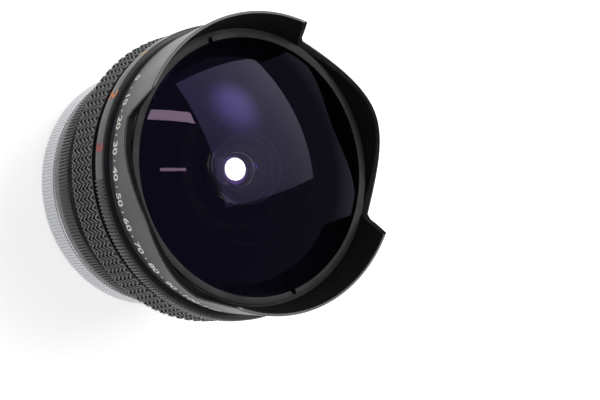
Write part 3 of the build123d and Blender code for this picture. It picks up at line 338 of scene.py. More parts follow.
bright_steel, tree, shader = finish("turned_steel", "#b4b6b8", Metallic=1.0, Roughness=0.28)
roughen(tree, shader, 0.00015, 0.000002, 0.22, 0.36, (1.0, 1.0, 3.0))

lever_steel, tree, shader = finish("worn_lever_steel", "#76787b", Metallic=1.0, Roughness=0.36)
roughen(tree, shader, 0.0002, 0.000003, 0.28, 0.46)

blade_steel, tree, shader = finish(
    "oxidised_spring_steel", "#1c1d21", Metallic=0.6, Roughness=0.42)
roughen(tree, shader, 0.0001, 0.000001, 0.36, 0.5, (4.0, 1.0, 1.0))

brass, tree, shader = finish("turned_brass", "#c39a4a", Metallic=1.0, Roughness=0.26)
roughen(tree, shader, 0.0002, 0.000002, 0.2, 0.34, (1.0, 1.0, 4.0))

# %% [markdown]
# ## Engraved paint
# Numbers and index lines are cut into the metal and filled with enamel that dries matt
# and slightly uneven. One recipe makes every colour of it.


# %% Filled marks
def fill_paint(name, colour):
    """Matt enamel in that colour, uneven by a few hundredths of a millimetre."""
    material, tree, shader = finish(name, colour, IOR=1.5, Roughness=0.55)
    roughen(tree, shader, 0.0001, 0.000003, 0.5, 0.65)
    return material


white_paint = fill_paint("white_engraving_enamel", "#e6e5e0")
yellow_paint = fill_paint("yellow_engraving_enamel", "#b3983a")
orange_paint = fill_paint("orange_engraving_enamel", "#d0763a")
red_paint = fill_paint("red_engraving_enamel", "#a03434")
print("paints:", [m.name for m in (white_paint, yellow_paint, orange_paint, red_paint)])

# %% [markdown]
# ## Optical glass
# Glass is clear and its gloss comes from its surface alone. Each surface of a lens
# carries a coat a quarter of a wavelength thick, which cancels most of the white
# reflection and leaves a violet rest, so the reflection is tinted and the glass is
# not. The ground rim of each element is painted matt black against stray light.
#
# The violet coat leaves about one hundredth of the light, and so faint a mirror image
# comes out grainy. It therefore mirrors `mirror_gain` times as much, and the lamps and
# the room that show in it are made dimmer to balance that.

# %% Coated and filter glass
mirror_gain = 16.0


def glass(name, colour, facing, grazing, ior, gain=1.0):
    """Polished glass of that colour. Its coat reflects the facing tint straight on and
    the grazing one from the side, where light crosses the thin layer on a longer path.
    The tint is multiplied by the gain, which makes the mirror image stronger."""
    material, tree, shader = finish(
        name, colour, IOR=ior, Roughness=0.0, Transmission_Weight=1.0)
    slant = add_node(tree, "ShaderNodeLayerWeight", {"Blend": 0.35}).outputs["Facing"]
    tint = add_node(tree, "ShaderNodeMix", {
        "Factor": slant, "A": linear(facing), "B": linear(grazing)}, data_type="RGBA")
    tint = add_node(tree, "ShaderNodeVectorMath", {
        0: tint.outputs["Result"], 1: (gain, gain, gain)}, operation="MULTIPLY")
    tree.links.new(tint.outputs["Vector"], shader.inputs["Specular Tint"])
    return material


front_coat = glass("violet_coated_glass", "#ffffff", "#685f95", "#8c8684", 1.5, mirror_gain)
inner_coat = glass("blue_coated_glass", "#ffffff", "#f0ecff", "#ffffff", 1.6)
filter_coat = ("#a0a0c8", "#c8c8d8", 1.5)
clear_glass = glass("clear_filter_glass", "#ffffff", *filter_coat)
yellow_glass = glass("yellow_filter_glass", "#f2d43a", *filter_coat)
orange_glass = glass("orange_filter_glass", "#e8761c", *filter_coat)
red_glass = glass("red_filter_glass", "#b8141c", *filter_coat)

# %% [markdown]
# ## Finishes for the pieces that keep their CAD mesh
# Where the CAD shape is already the real one, such as screws, levers, gears and the
# parts inside, the piece keeps its own mesh and only gets its finish.

# %% Assign a finish to every CAD node
finishes = {
    satin_chrome: ["mount_plate", "breech_ring"],
    bright_chrome: ["lock_button"],
    bright_steel: ["mount_screws", "locating_pin", "aperture_pin", "turret_axle"],
    blackened_steel: ["index_screws", "hood_screws", "guide_keys", "cam_rollers",
                      "aperture_key", "selector_key", "lever_retainer"],
    lever_steel: ["signal_ring", "auto_lever"],
    blade_steel: [f"iris_blade_{n}" for n in range(1, 7)],
    anodised_inside: ["rear_guard", "outer_barrel", "front_barrel", "rear_ring", "iris_drive",
                      "filter_turret"],
    light_trap: ["inner_clamp", "front_cell", "iris_housing", "rear_cell", "middle_spacer",
                 "rear_spacer"],
    anodised: ["aperture_ring", "index_ring", "focus_ring", "retaining_ring", "selector_ring"],
    rubber: ["focus_grip"],
    enamel: ["hood"],
    brass: ["filter_gear", "turret_pinion"],
    red_paint: ["breech_mark"],
    front_coat: ["front_glass", "last_glass"],
    inner_coat: ["second_glass", "third_glass", "fourth_glass", "fifth_glass", "sixth_glass"],
    clear_glass: ["clear_filter"],
    yellow_glass: ["yellow_filter"],
    orange_glass: ["orange_filter"],
    red_glass: ["red_filter"],
}
for material, names in finishes.items():
    for name in names:
        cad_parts[name].data.materials.clear()
        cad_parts[name].data.materials.append(material)
left_out = set(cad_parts) - {n for names in finishes.values() for n in names}
print("nodes with no finish:", sorted(left_out))


# %% [markdown]
# ## Heights along the axis
# A piece that stands for a CAD node starts from that node's own box, so that it keeps
# its place if the lens is redrawn. `span` reads the rear and front of a node, and its
# greatest radius, in millimetres.


# %% Read a node's span
def span(node):
    """Rear height, front height and outer radius of a CAD node, in millimetres."""
    low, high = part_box(node)
    return low.z / MM, high.z / MM, max(high.x, high.y) / MM


hood_rear, tip_height, tip_radius = span("hood")
print("shade from", round(hood_rear, 2), "to", round(tip_height, 2), "radius", round(tip_radius, 2))

# %% [markdown]
# ## The shade with its petals
# A fisheye sees almost all that lies in front, so its shade is cut away wherever it
# would enter the picture, and four petals are left: two tall ones and two low
# crests. The real one is turned as a flared tube and then milled from one side right
# through to the other, and this piece is made the same way. A tube could be cut by a
# boolean, but a grid whose rows stop at the height of the cut gives a cleaner rim.

# %% Height of the milled edge
valley_height, crest_height, ramp_foot_height = 50.9, 56.8, 52.5
ramp_foot_half_width = 25.6
petal_half_width = tip_radius * cos(radians(41))
valley_half_width = tip_radius * cos(radians(50))


def milled_height(y):
    """Height of the cut across the lens: a smooth crest 3t^2 - 2t^3 in the middle, then
    two straight ramps up to the tips, the second one steep."""
    t = np.clip(1 - np.abs(y) / valley_half_width, 0, 1)
    crest = valley_height + (crest_height - valley_height) * (3 * t**2 - 2 * t**3)
    ramp = np.interp(
        np.abs(y),
        [valley_half_width, ramp_foot_half_width, petal_half_width],
        [valley_height, ramp_foot_height, tip_height],
    )
    return np.where(np.abs(y) < valley_half_width, crest, ramp)


# %% The shade's grid
neck_radius, neck_height, band_radius, band_rear = 35.9, 44.6, 36.5, 44.9
shade_outside = np.array([
    (neck_radius, hood_rear), (neck_radius, neck_height), (36.2, neck_height),
    (36.42, 44.72), (band_radius, band_rear), (tip_radius, tip_height)])
shade_inside = np.array([(35.02, hood_rear), (35.02, 51.2), (37.25, tip_height)])
shade_rows = 16
edge_round = 0.22
shade_angles = np.linspace(0, 2 * pi, 1440, endpoint=False)


def shade_wall(corners, drop, heights):
    """Rows of one wall: each row stands at its own height, or drop under the milled edge
    where that is lower, and takes the wall's radius at that height."""
    radius = np.interp(heights, corners[:, 1], corners[:, 0])[:, None]
    y = radius * np.sin(shade_angles)
    height = np.minimum(heights[:, None], milled_height(y) - drop)
    radius = np.interp(height, corners[:, 1], corners[:, 0])
    return np.stack([radius * np.cos(shade_angles), radius * np.sin(shade_angles), height], -1)


outer_heights = np.concatenate([
    [hood_rear, neck_height - 0.01, neck_height, 44.72, band_rear],
    np.linspace(45.5, tip_height, shade_rows)])
inner_heights = np.concatenate([[hood_rear, 51.2], np.linspace(52, tip_height, shade_rows)])
outer_wall = shade_wall(shade_outside, edge_round, outer_heights)
inner_wall = shade_wall(shade_inside, edge_round, inner_heights)
across = (outer_wall[-1] - inner_wall[-1]) * [1, 1, 0]
lift = [[0, 0, edge_round]]
brow = np.stack([inner_wall[-1] + across * 0.2 + lift, outer_wall[-1] - across * 0.2 + lift])
shade_grid = np.concatenate([inner_wall, brow, outer_wall[::-1]])
shade = surface("shade", shade_grid, "optical_unit", enamel, ["hood"])

# %% Flat lacquer on the shade's inside
lacquer_depth = 0.45
shade.data.materials.append(light_trap)
face_places = np.zeros(len(shade.data.polygons) * 3)
shade.data.polygons.foreach_get("center", face_places)
face_x, face_y, face_z = face_places.reshape(-1, 3).T / MM
buried = np.interp(face_z, shade_outside[:, 1], shade_outside[:, 0]) - np.hypot(face_x, face_y)
shade.data.polygons.foreach_set("material_index", (buried > lacquer_depth).astype(np.int32))
print("lacquered faces:", int((buried > lacquer_depth).sum()))

# %% [markdown]
# ## The front glass
# The big outer element is a deep meniscus: a dome outside and a much tighter hollow
# inside. Both are spheres, because glass is ground against a spherical tool, so its
# profile is two arcs and a short ground rim. The profile begins and ends on the axis,
# where the grid's first and last rows shrink to a point.


# %% Profiles of ground glass
def arc_profile(rim_radius, rim_height, middle_height, rows=64):
    """Points of a sphere from the axis to the rim: height = middle - sag, where
    sag = R - sqrt(R^2 - r^2) and R = (rim^2 + rise^2) / (2 rise) keeps the rise's sign."""
    rise = middle_height - rim_height
    sphere = (rim_radius**2 + rise**2) / (2 * rise)
    radius = rim_radius * np.sin(np.linspace(0, pi / 2, rows))
    sag = sphere - np.sign(sphere) * np.sqrt(sphere**2 - radius**2)
    return np.stack([radius, middle_height - sag], axis=1)


def element(name, front, back, edge, body, material, node):
    """A glass: front and back are (rim radius, rim height, middle height) of each face,
    edge is the radius of the ground cylinder between them. That cylinder, and the flat
    rings beside the curved faces, are lacquered."""
    front_face = arc_profile(*front)
    back_face = arc_profile(*back)
    rim = np.array([(edge, front[1]), (edge, back[1])])
    profile = np.concatenate([front_face, rim, back_face[::-1]])
    grid = turned(profile, 360)
    piece = surface(name, grid, body, material, [node], closed_rows=False)
    piece.data.materials.append(light_trap)
    centres = np.array([face.center for face in piece.data.polygons]) / MM
    normals = np.array([face.normal for face in piece.data.polygons])
    beside = np.hypot(centres[:, 0], centres[:, 1]) > min(front[0], back[0])
    along_axis = np.abs(normals[:, 2])
    ground = (along_axis < 0.02) | (beside & (along_axis > 0.999))
    piece.data.polygons.foreach_set("material_index", ground.astype(np.int32))
    return piece


# %% Front glass and the three behind it
element("front_dome", (33.45, 50.3, 58.8), (18.0, 45.8, 57.086), 33.45,
        "optical_unit", front_coat, "front_glass")
element("second_meniscus", (16.5, 45.23, 53.7), (13.0, 43.6, 52.96), 17.0,
        "optical_unit", inner_coat, "second_glass")
element("third_lens", (10.5, 43.2, 42.275), (8.8, 41.6, 40.731), 11.5,
        "optical_unit", inner_coat, "third_glass")
element("fourth_lens", (8.8, 41.4, 40.105), (8.8, 40.3, 39.344), 9.5,
        "optical_unit", inner_coat, "fourth_glass")

# %% [markdown]
# ## Knurled rings
# A knurl is a row of teeth cut along the axis so that fingers hold the ring. Modelling
# each tooth by hand would take for ever. Instead the angle runs through four stops per
# tooth (root, flank, tip, flank) and an array of heights lifts the profile there, so
# that one call makes a ring with any number of teeth.


# %% Angles and heights of a row of teeth
def teeth(count, height, root=0.26, tip=0.3, start=0.0, sweep=360.0):
    """Each tooth has four stops: the root's two ends at height 0 and the tip's two ends
    at full height. Shares say how much of the pitch the root and the tip take."""
    flank = (1 - root - tip) / 2
    stops = np.array([0, root, root + flank, root + flank + tip])
    lifts = np.array([0, 0, height, height])
    pitch = radians(sweep) / count
    angles = radians(start) + pitch * (np.arange(count)[:, None] + stops)
    return angles.ravel(), np.tile(lifts, count)


# %% [markdown]
# The breech ring keeps its lugs and notches from CAD, and its CAD mesh already has the
# ribs, so it stays as it is. The rings in front of it are remade below.

# %% Aperture ring: numbers at the rear, knurl at the front
aperture_rear, aperture_front, _ = span("aperture_ring")
dial_bore, dial_rear_radius, dial_radius = 29.25, 31.2, 31.88
dial_rear, dial_front, ribs_front = aperture_rear + 0.35, 8.7, 13.1
rib_angles, rib_rise = teeth(222, 0.38, 0.3, 0.3)
aperture_corners = soften([
    (dial_bore, aperture_rear, 0), (30.85, aperture_rear, 0), (dial_rear_radius, dial_rear, 0),
    (dial_radius, dial_front, 0), (dial_radius, 9.0, 1), (dial_radius, ribs_front, 1),
    (31.75, aperture_front - 0.1, 0), (31.5, aperture_front, 0),
    (dial_bore, aperture_front, 0)], 0.1)
surface("aperture_dial", turned(aperture_corners, angles=rib_angles, rise=rib_rise),
        "aperture", anodised, ["aperture_ring"])

# %% Depth-of-field ring, focus ring and its scale cone
# The depth ring and the focus ring's scale cone get the near-black scale finish, which is painted
# shade for the shadow of the grip.
plain_columns = 320
index_rear, index_front, index_radius = span("index_ring")
surface("depth_ring", turned(soften([
    (29.22, index_rear), (31.9, index_rear), (index_radius, index_rear + 0.3),
    (index_radius, index_front - 0.3), (31.9, index_front), (29.22, index_front)], 0.1),
    plain_columns), "fixed_barrel", scale_black_painted_shade, ["index_ring"])

focus_rear, focus_front, focus_radius = span("focus_ring")
grip_rear, grip_front, grip_radius = span("focus_grip")
cone_rear, cone_rear_radius, cone_front_radius = focus_rear + 0.6, 32.4, 36.0
focus_bore, groove_radius, grip_seat, lip_bore = 28.85, 30.25, 36.2, 35.3
surface("focus_barrel", turned(soften([
    (focus_bore, focus_rear), (32.1, focus_rear), (cone_rear_radius, cone_rear),
    (cone_front_radius, grip_rear), (grip_seat, grip_rear), (grip_seat, grip_front),
    (focus_radius, grip_front), (focus_radius, grip_front + 0.3), (36.5, grip_front + 0.45),
    (36.3, focus_front), (lip_bore, focus_front), (lip_bore, 30.1), (focus_bore, 30.1),
    (focus_bore, 27.55), (groove_radius, 27.55), (groove_radius, 24.05),
    (focus_bore, 24.05)], 0.12), plain_columns),
    "focus", scale_black_painted_shade, ["focus_ring"])

# %% [markdown]
# ## The moulded grip
# The rubber sleeve has ninety-two bars along the axis, and each bar carries five
# V-shaped teeth that point to the rear, like a row of arrowheads. The grid leans with
# them: its rows are not flat circles but zigzags, z = row + slope * distance from the
# middle of the bar, so the sharp crest of every V lies along an edge of the mesh. Where
# a V would run past the end of the grip, its point stays on the end and lies low.

# %% Grip grid
grip_bars, grip_teeth = 92, 5
bar_stops = np.array([-0.5, -0.43, -0.36, -0.24, -0.12, 0.0, 0.12, 0.24, 0.36, 0.43])
bar_lift = np.array([0.2, 0.8, 1.0, 1.0, 1.0, 1.0, 1.0, 1.0, 1.0, 0.8])
tooth_stops = np.array([0.0, 0.14, 0.4, 0.54])
tooth_lift = np.array([0.0, 1.0, 1.0, 0.0])
grip_depth, grip_slope, end_margin = 0.42, 1.6, 0.12
sleeve_bore, sleeve_edge = 36.22, 36.6
bar_pitch = 2 * pi / grip_bars
grip_angles = (bar_pitch * (np.arange(grip_bars)[:, None] + bar_stops)).ravel()
offset = np.tile(np.abs(bar_stops), grip_bars) * bar_pitch * grip_radius
tooth_pitch = (grip_front - grip_rear - 2 * end_margin) / grip_teeth
rows = grip_rear + end_margin + (
    tooth_pitch * (np.arange(-2, grip_teeth)[:, None] + tooth_stops)).ravel()
height = rows[:, None] + grip_slope * offset
low, high = grip_rear + end_margin, grip_front - end_margin
inside = (height >= low) & (height < high)
lift = inside * np.tile(bar_lift, grip_bars) * np.tile(tooth_lift, grip_teeth + 2)[:, None]
height = np.clip(height, low, high)
radius = grip_radius - grip_depth * (1 - lift)
teeth_grid = np.stack([radius * np.cos(grip_angles), radius * np.sin(grip_angles), height], -1)
rear_edge = turned([(sleeve_bore, grip_rear), (sleeve_edge, grip_rear)], angles=grip_angles)
front_edge = turned([(sleeve_edge, grip_front), (sleeve_bore, grip_front)], angles=grip_angles)
grip_grid = np.concatenate([rear_edge, teeth_grid, front_edge])
surface("focus_sleeve", grip_grid, "focus", rubber, ["focus_grip"], crease=24.0)

# %% [markdown]
# ## The filter selector
# A flat ring in front of the grip turns one of four filters into the light path. It is
# finely knurled where fingers turn it, and smooth where its four marks are.

# %% Selector ring
selector_rear, selector_front, _ = span("selector_ring")
selector_bore, selector_side, selector_radius = 35.05, 37.25, 37.6
smooth_start, smooth_span, selector_teeth = 66.0, 95.5, 181
knurl_angles, knurl_rise = teeth(
    selector_teeth, 0.4, 0.25, 0.3, smooth_start + smooth_span, 360 - smooth_span)
smooth_angles = np.radians(smooth_start + np.linspace(0, smooth_span, 97)[:-1])
selector_angles = np.concatenate([knurl_angles, smooth_angles + 2 * pi])
selector_rise = np.concatenate([knurl_rise, np.zeros(len(smooth_angles))])
selector_corners = soften([
    (selector_bore, selector_rear, 0), (selector_side, selector_rear, 0),
    (selector_radius, selector_rear + 0.35, 1), (selector_radius, selector_front - 0.35, 1),
    (selector_side, selector_front, 0), (selector_bore, selector_front, 0)], 0.1)
surface("selector_dial", turned(selector_corners, angles=selector_angles, rise=selector_rise),
        "selector", anodised, ["selector_ring"])

# %% [markdown]
# ## The ring that holds the front glass
# A threaded ring is screwed down on the rim of the dome with a two-pin spanner, which
# fits the two small notches in its inner edge. The notches are columns of the grid that
# step back and down.

# %% Retaining ring with spanner notches
notch_angles, notch_half = (87, 267), degrees(0.65 / 33.0)
plain_angles = np.arange(0, 360, 1.25)
notch_edges = [centre + side * (notch_half + step)
               for centre in notch_angles for side in (-1, 1) for step in (-0.02, 0.02)]
ring_degrees = np.sort(np.concatenate([plain_angles, notch_edges]))
from_notch = np.min([np.abs(ring_degrees - centre) for centre in notch_angles], axis=0)
notched = (from_notch < notch_half)[None, :, None]
outer_side = [(33.6, 49.82), (34.53, 49.82), (34.53, 51.3)]
whole_ring = soften([*outer_side, (32.7, 51.3), (32.7, 50.85), (33.6, 50.85)], 0.07)
cut_ring = soften([*outer_side, (34.0, 51.3), (34.0, 50.5), (33.6, 50.5)], 0.07)
ring_grid = np.where(notched, turned(cut_ring, angles=np.radians(ring_degrees)),
                     turned(whole_ring, angles=np.radians(ring_degrees)))
surface("glass_retainer", ring_grid, "optical_unit", anodised_inside,
        ["retaining_ring"])

# %% [markdown]
# ## Numbers and index lines
# The names on the real lens are left off. Their places hold plain numbers, as a dial
# has, filled with coloured enamel. Blender makes each word flat, from its own font, and
# numpy then bends it round the barrel: sideways distance becomes an angle, distance
# divided by radius, and height above the paper becomes height above the metal.

# %% Flat words and bars
engraving_depth = 0.05


def word(text, size, widen=1.15, bold=0.012):
    """Points and triangles of a word that lies flat with its middle at zero, widened.
    Its strokes are thickened by bold, a share of the size."""
    curve = bpy.data.curves.new("word", "FONT")
    curve.body, curve.size, curve.extrude = text, size, engraving_depth / 2
    curve.offset = bold * size
    curve.align_x = curve.align_y = "CENTER"
    curve.resolution_u = 4
    holder = bpy.data.objects.new("word", curve)
    mesh = bpy.data.meshes.new_from_object(holder)
    mesh.calc_loop_triangles()
    points = np.zeros(len(mesh.vertices) * 3)
    mesh.vertices.foreach_get("co", points)
    triangles = np.zeros(len(mesh.loop_triangles) * 3, np.int64)
    mesh.loop_triangles.foreach_get("vertices", triangles)
    bpy.data.objects.remove(holder)
    bpy.data.curves.remove(curve)
    bpy.data.meshes.remove(mesh)
    return points.reshape(-1, 3) * [widen, 1, 1], triangles.reshape(-1, 3)


def bar(width, length, turn=0.0):
    """Points and triangles of a straight mark, a box with its middle at zero, turned by
    an angle in its own plane: (x cos t - y sin t, x sin t + y cos t)."""
    corners = np.stack(np.meshgrid([-1, 1], [-1, 1], [-1, 1], indexing="ij"), -1).reshape(-1, 3)
    points = corners * [width / 2, length / 2, engraving_depth / 2]
    c, s = cos(turn), sin(turn)
    points[:, :2] = points[:, :2] @ np.array([[c, s], [-s, c]])
    sides = np.array([(0, 1, 3, 2), (4, 6, 7, 5), (0, 4, 5, 1), (2, 3, 7, 6), (0, 2, 6, 4),
                      (1, 5, 7, 3)])
    return points, np.concatenate([sides[:, [0, 1, 2]], sides[:, [0, 2, 3]]])


# %% Bend the marks round the barrel
def wall(rear, front):
    """The radius at height z of a straight wall, in proportion between its two ends.
    Each end is (height, radius)."""
    heights, radii = zip(rear, front)
    return lambda z: np.interp(z, heights, radii)


def engrave(name, marks, radius_at, body, material):
    """Marks are (flat mark, angle, height). Each point goes to the angle a + x / R and
    the height z + y, and to the radius R(z) plus its own thickness."""
    placed, faces, count = [], [], 0
    for (points, triangles), angle, height in marks:
        z = height + points[:, 1]
        radius = radius_at(z)
        turn = radians(angle) + points[:, 0] / radius
        radius = radius + points[:, 2]
        placed.append(np.stack([radius * np.cos(turn), radius * np.sin(turn), z], -1))
        faces.append(triangles + count)
        count += len(points)
    mesh = bpy.data.meshes.new(name)
    mesh.from_pydata((np.concatenate(placed) * MM).tolist(), [], np.concatenate(faces).tolist())
    return finish_piece(name, mesh, body, material)


# %% Aperture numbers
aperture_stops = ["2.8", "4", "5.6", "8", "11", "16", "22"]
index_angle, stop_turn = 90, 7.3
stop_marks = [(word(text, 2.3), index_angle - n * stop_turn, 6.9)
              for n, text in enumerate(aperture_stops)]
aperture_wall = wall((dial_rear, dial_rear_radius), (dial_front, dial_radius))
engrave("aperture_numbers", stop_marks, aperture_wall, "aperture", white_paint)

# %% Depth lines on the fixed ring
depth_marks = [(bar(0.3, 4.3), index_angle, 16.4)]
for text, turn in (("4", 5), ("8", 9.5), ("16", 16.5), ("22", 22.5)):
    for angle in (index_angle - turn, index_angle + turn):
        depth_marks.append((bar(0.2, 1.6), angle, 17.8))
        depth_marks.append((word(text, 1.9), angle, 15.6))
index_wall = wall((index_rear, index_radius), (index_front, index_radius))
engrave("depth_lines", depth_marks, index_wall, "fixed_barrel", white_paint)

# %% [markdown]
# The far end of the distance scale is infinity, which is the figure 8 laid on its side:
# its two directions change places. Every metre figure has a short line under it.

# %% Distance scales on the focus ring's cone
scale_wall = wall((cone_rear, cone_rear_radius), (grip_rear, cone_front_radius))
metres = {"3": 83.5, "1": 73, "0.5": 55, "0.3": 31, "0.25": 18, "0.2": 2}
feet = {"10": 84, "3": 71, "1.5": 52, "1": 32, "0.8": 16}
upright, triangles = word("8", 2.2)
infinity = (upright[:, [1, 0, 2]] * [1, -1, 1], triangles)
metre_marks = [(infinity, index_angle, 21.2)]
metre_marks += [(word(text, 2.0), angle, 21.2) for text, angle in metres.items()]
metre_marks += [(bar(0.22, 0.9), angle, 19.95) for angle in (index_angle, *metres.values())]
engrave("metre_scale", metre_marks, scale_wall, "focus", white_paint)
feet_marks = [(word(text, 2.0), angle, 23.9) for text, angle in feet.items()]
engrave("feet_scale", feet_marks, scale_wall, "focus", orange_paint)

# %% Filter marks on the selector
smooth_middle = (selector_rear + selector_front) / 2
selector_wall = wall((selector_rear, selector_radius), (selector_front, selector_radius))
for text, angle, paint in (("0", 85.5, white_paint), ("1", 107, yellow_paint),
                           ("2", 128.5, orange_paint), ("3", 150, red_paint)):
    engrave(f"filter_mark_{text}", [(word(text, 4.4, 1.25, 0.028), angle, smooth_middle)],
            selector_wall, "selector", paint)

# %% Numbers round the shade, and a short line between each two
band_start, band_step, band_middle = 121, 10, 46.25
band_marks = [(word(str(10 * n), 3.4, 1.05, 0.02), band_start + band_step * n, band_middle)
              for n in range(12)]
band_marks += [(bar(0.3, 0.9), band_start + band_step * (n + 0.5), band_middle)
               for n in range(11)]
band_wall = wall((band_rear, band_radius), (tip_height, tip_radius))
engrave("shade_numbers", band_marks, band_wall, "optical_unit", white_paint)

# %% [markdown]
# ## The floor and the room
# The lens stands on its rear rim on a plain white table, in a room that is white at the
# sides and dim overhead, as a table-top studio is. The table glows for the camera, for
# gloss and through glass, so that it looks white, and the light that it throws on the
# lens stays that of the lamps. The room does the same in its own way: the camera sees
# it white, gloss sees it dim overhead, and the light that it throws on the lens is even.

# %% Floor
floor_height = cad_box[0].z
floor_half, floor_lines, floor_glow = 1.5, 9, 0.55
table, tree, shader = finish("white_table", "#e4e4e4", Roughness=0.7)
roughen(tree, shader, 0.002, 0.00001, 0.6, 0.8)
rays = add_node(tree, "ShaderNodeLightPath").outputs
seen = combined(tree, "MAXIMUM", rays["Is Camera Ray"], rays["Is Glossy Ray"])
seen = combined(tree, "MAXIMUM", seen, rays["Is Transmission Ray"])
glow = combined(tree, "MULTIPLY", seen, floor_glow)
shader.inputs["Emission Color"].default_value = (1, 1, 1, 1)
tree.links.new(glow, shader.inputs["Emission Strength"])

lines = np.linspace(-floor_half, floor_half, floor_lines)
floor_x, floor_y = np.meshgrid(lines, lines, indexing="ij")
floor_points = np.stack([floor_x, floor_y, np.full_like(floor_x, floor_height)], axis=-1)
cells = np.arange(floor_lines - 1)
corner = (cells[:, None] * floor_lines + cells).reshape(-1, 1)
floor_faces = corner + [0, floor_lines, floor_lines + 1, 1]
floor_mesh = bpy.data.meshes.new("floor")
floor_mesh.from_pydata(floor_points.reshape(-1, 3).tolist(), [], floor_faces.tolist())
floor_mesh.materials.append(table)
floor = bpy.data.objects.new("floor", floor_mesh)
bpy.context.scene.collection.objects.link(floor)
print("floor at", round(floor_height * 1000, 2), "mm")

# %% [markdown]
# A sharp mirror image, or a sharp view through glass, is made by what Blender calls a
# singular ray. For such rays the room is only `room_in_glass` as bright, which balances
# the front coat's `mirror_gain`.

# %% World: white at the horizon, dim overhead
room_overhead, room_in_glass, room_light = 0.35, 0.12, 0.5
world = bpy.data.worlds.new("studio")
world.use_nodes = True
bpy.context.scene.world = world
tree = world.node_tree
tree.nodes.clear()
direction = add_node(tree, "ShaderNodeTexCoord").outputs["Generated"]
up = add_node(tree, "ShaderNodeSeparateXYZ", {"Vector": direction}).outputs["Z"]
overhead = add_node(tree, "ShaderNodeMapRange", {
    "Value": up, "From Min": 0.1, "From Max": 0.3, "To Min": 1.0,
    "To Max": room_overhead}).outputs["Result"]
rays = add_node(tree, "ShaderNodeLightPath").outputs
in_glass = combined(tree, "MULTIPLY", overhead, room_in_glass)
gloss = add_node(tree, "ShaderNodeMix", {
    "Factor": rays["Is Singular Ray"], "A": overhead, "B": in_glass}).outputs["Result"]
mirrored = combined(tree, "MAXIMUM", rays["Is Glossy Ray"], rays["Is Transmission Ray"])
ambient = add_node(tree, "ShaderNodeMix", {
    "Factor": mirrored, "A": room_light, "B": gloss}).outputs["Result"]
strength = add_node(tree, "ShaderNodeMix", {
    "Factor": rays["Is Camera Ray"], "A": ambient, "B": 1.0}).outputs["Result"]
sky = add_node(tree, "ShaderNodeBackground", {"Color": (1, 1, 1, 1), "Strength": strength})
add_node(tree, "ShaderNodeOutputWorld", {"Surface": sky.outputs["Background"]})
print("world:", world.name)

# %% [markdown]
# ## The lamps
# One large softbox hangs where its violet image lies in the dome of the photograph, and
# a weak fill lamp brightens the side that faces the camera. The dome mirrors more
# strongly than the rest of the lens, so the softbox is there twice in one place: a lamp
# that lights all but the front glasses, and a dimmer one that only they see. Two strips
# that only they see make the small pale images beside it.


# %% Lamps
def link_glasses(name, state):
    """A light-linking collection of the front glasses, which INCLUDE makes the only
    pieces that a lamp reaches, and EXCLUDE the only ones that it doesn't."""
    collection = bpy.data.collections.new(name)
    for glass_name in ("front_dome", "second_meniscus", "third_lens", "fourth_lens"):
        collection.objects.link(bpy.data.objects[glass_name])
    for entry in collection.collection_objects:
        entry.light_linking.link_state = state
    return collection


only_glasses = link_glasses("only_front_glasses", "INCLUDE")
all_but_glasses = link_glasses("all_but_front_glasses", "EXCLUDE")


def lamp(name, place, across, along, size, radiance, colour="#ffffff", shape="RECTANGLE",
         only_mirrored=False):
    """An area lamp whose edges run across and along, and which shines against their cross
    product. radiance is its brightness, so power = radiance * pi * area. A lamp that is
    only mirrored shows in the front glasses and lights nothing else, and its power is
    divided by the gain of their mirror image. The other lamps don't show there."""
    data = bpy.data.lights.new(name, "AREA")
    data.shape = shape
    data.size, data.size_y = size
    area = size[0] * size[1] * (pi / 4 if shape == "ELLIPSE" else 1)
    data.energy = radiance * pi * area / (mirror_gain if only_mirrored else 1)
    data.color = linear(colour)[:3]
    lamp_object = bpy.data.objects.new(name, data)
    bpy.context.scene.collection.objects.link(lamp_object)
    x, y = Vector(across).normalized(), Vector(along).normalized()
    y = (y - x * x.dot(y)).normalized()
    z = x.cross(y)
    lamp_object.matrix_world = Matrix(
        [[*axes, middle] for *axes, middle in zip(x, y, z, place)] + [[0, 0, 0, 1]])
    lamp_object.visible_camera = False
    lamp_object.visible_diffuse = not only_mirrored
    lamp_object.light_linking.receiver_collection = (
        only_glasses if only_mirrored else all_but_glasses)
    lamp_object.visible_transmission = False
    return lamp_object


softbox_frame = ((0.3923, 0.1300, 0.5626), (0.9637, -0.1099, -0.2433),
                 (0.1158, 0.9932, 0.0102), (0.606, 0.669))
lamp("softbox", *softbox_frame, 3.2)
softbox_image = lamp("softbox_in_the_glass", *softbox_frame, 4.2, only_mirrored=True)
lamp("window_strip", (0.006, 0.3201, 0.6225), (0.8515, -0.4721, 0.2284),
     (0.1968, 0.6913, 0.6952), (0.2103, 0.1578), 28.0, "#ffecb8", only_mirrored=True)
lamp("thin_strip", (-0.1166, 0.0873, 0.6848), (0.8671, -0.3582, 0.3462),
     (0.4313, 0.8876, -0.1617), (0.1327, 0.0149), 26.0, "#ffe4b8", only_mirrored=True)
lamp("fill", (-0.62, -0.12, 0.4), (0.19, -0.982, 0.0), (0.52, 0.1, 0.846), (0.4, 0.3), 1.2)

# %% [markdown]
# The softbox is brighter round its tube, and that hot spot shows in the dome. Along its
# height it fades to half, and across its width it rises to more than double. A lamp may
# have nodes as a material has, and they read where on the lamp a point lies, from 0 to 1
# both ways.

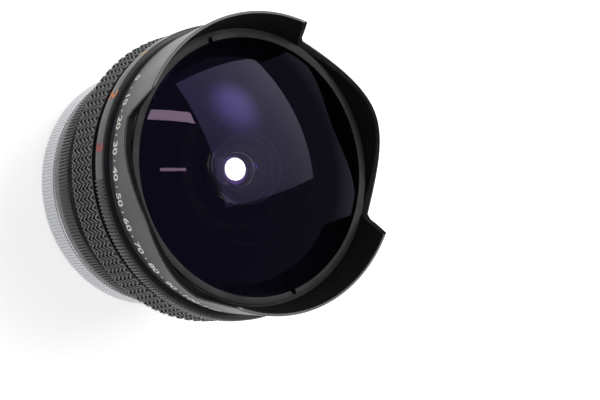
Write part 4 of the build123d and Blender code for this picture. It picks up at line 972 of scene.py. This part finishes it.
# %% Hot spot of the softbox
hot_middle, hot_reach = (0.365, 0.624, 0.0), 0.3
plain_tone, hot_tone = (0.76, 0.76, 0.78, 1.0), (2.3, 2.1, 3.2, 1.0)
dim_side, bright_side, rise_power = (1.0, 1.0, 1.0, 1.0), (2.5, 2.75, 1.9, 1.0), 1.4
softbox_image.data.use_nodes = True
tree = softbox_image.data.node_tree
tree.nodes.clear()
on_lamp = add_node(tree, "ShaderNodeNewGeometry").outputs["Parametric"]
from_hot = add_node(tree, "ShaderNodeVectorMath", {0: on_lamp, 1: hot_middle},
                    operation="DISTANCE")
hot = add_node(tree, "ShaderNodeMapRange", {
    "Value": from_hot.outputs["Value"], "From Min": 0.0, "From Max": hot_reach,
    "To Min": 1.0, "To Max": 0.0}, interpolation_type="SMOOTHERSTEP")
tone = add_node(tree, "ShaderNodeMix", {
    "Factor": hot.outputs["Result"], "A": plain_tone, "B": hot_tone}, data_type="RGBA")
share = add_node(tree, "ShaderNodeSeparateXYZ", {"Vector": on_lamp}).outputs
fade = add_node(tree, "ShaderNodeMapRange", {
    "Value": share["Y"], "From Min": 0.0, "From Max": 0.7, "To Min": 0.5, "To Max": 1.0})
rise = add_node(tree, "ShaderNodeMix", {
    "Factor": combined(tree, "POWER", share["X"], rise_power), "A": dim_side,
    "B": bright_side}, data_type="RGBA")
tone = add_node(tree, "ShaderNodeVectorMath", {
    0: tone.outputs["Result"], 1: rise.outputs["Result"]}, operation="MULTIPLY")
emission = add_node(tree, "ShaderNodeEmission", {
    "Color": tone.outputs["Vector"], "Strength": fade.outputs["Result"]})
add_node(tree, "ShaderNodeOutputLight", {"Surface": emission.outputs["Emission"]})
print("nodes of the softbox's image:", len(tree.nodes))

# %% [markdown]
# ## Light through the lens
# In the photograph the open back of the lens faces a white table, so the iris shows as
# a bright disc. Standing on its back, the lens gets no light there, so a small round
# lamp behind the iris takes the table's place, and a wider and fainter violet one makes
# the halo round it. They are seen only through the glass.

# %% Light behind the iris
to_the_front = ((1, 0, 0), (0, -1, 0))
pupil_light = lamp("light_behind_iris", (1.4 * MM, 0.2 * MM, 27.1 * MM), *to_the_front,
                   (10.5 * MM, 10.5 * MM), 4.0, shape="ELLIPSE")
halo = lamp("halo_of_the_iris", (1.6 * MM, 0, 26.9 * MM), *to_the_front,
            (21.5 * MM, 21.5 * MM), 0.3, "#9065ff", shape="ELLIPSE")
for disc in (pupil_light, halo):
    disc.light_linking.receiver_collection = None
    disc.visible_diffuse = disc.visible_glossy = False
    disc.visible_transmission = True
print("behind the iris:", [disc.name for disc in (pupil_light, halo)])
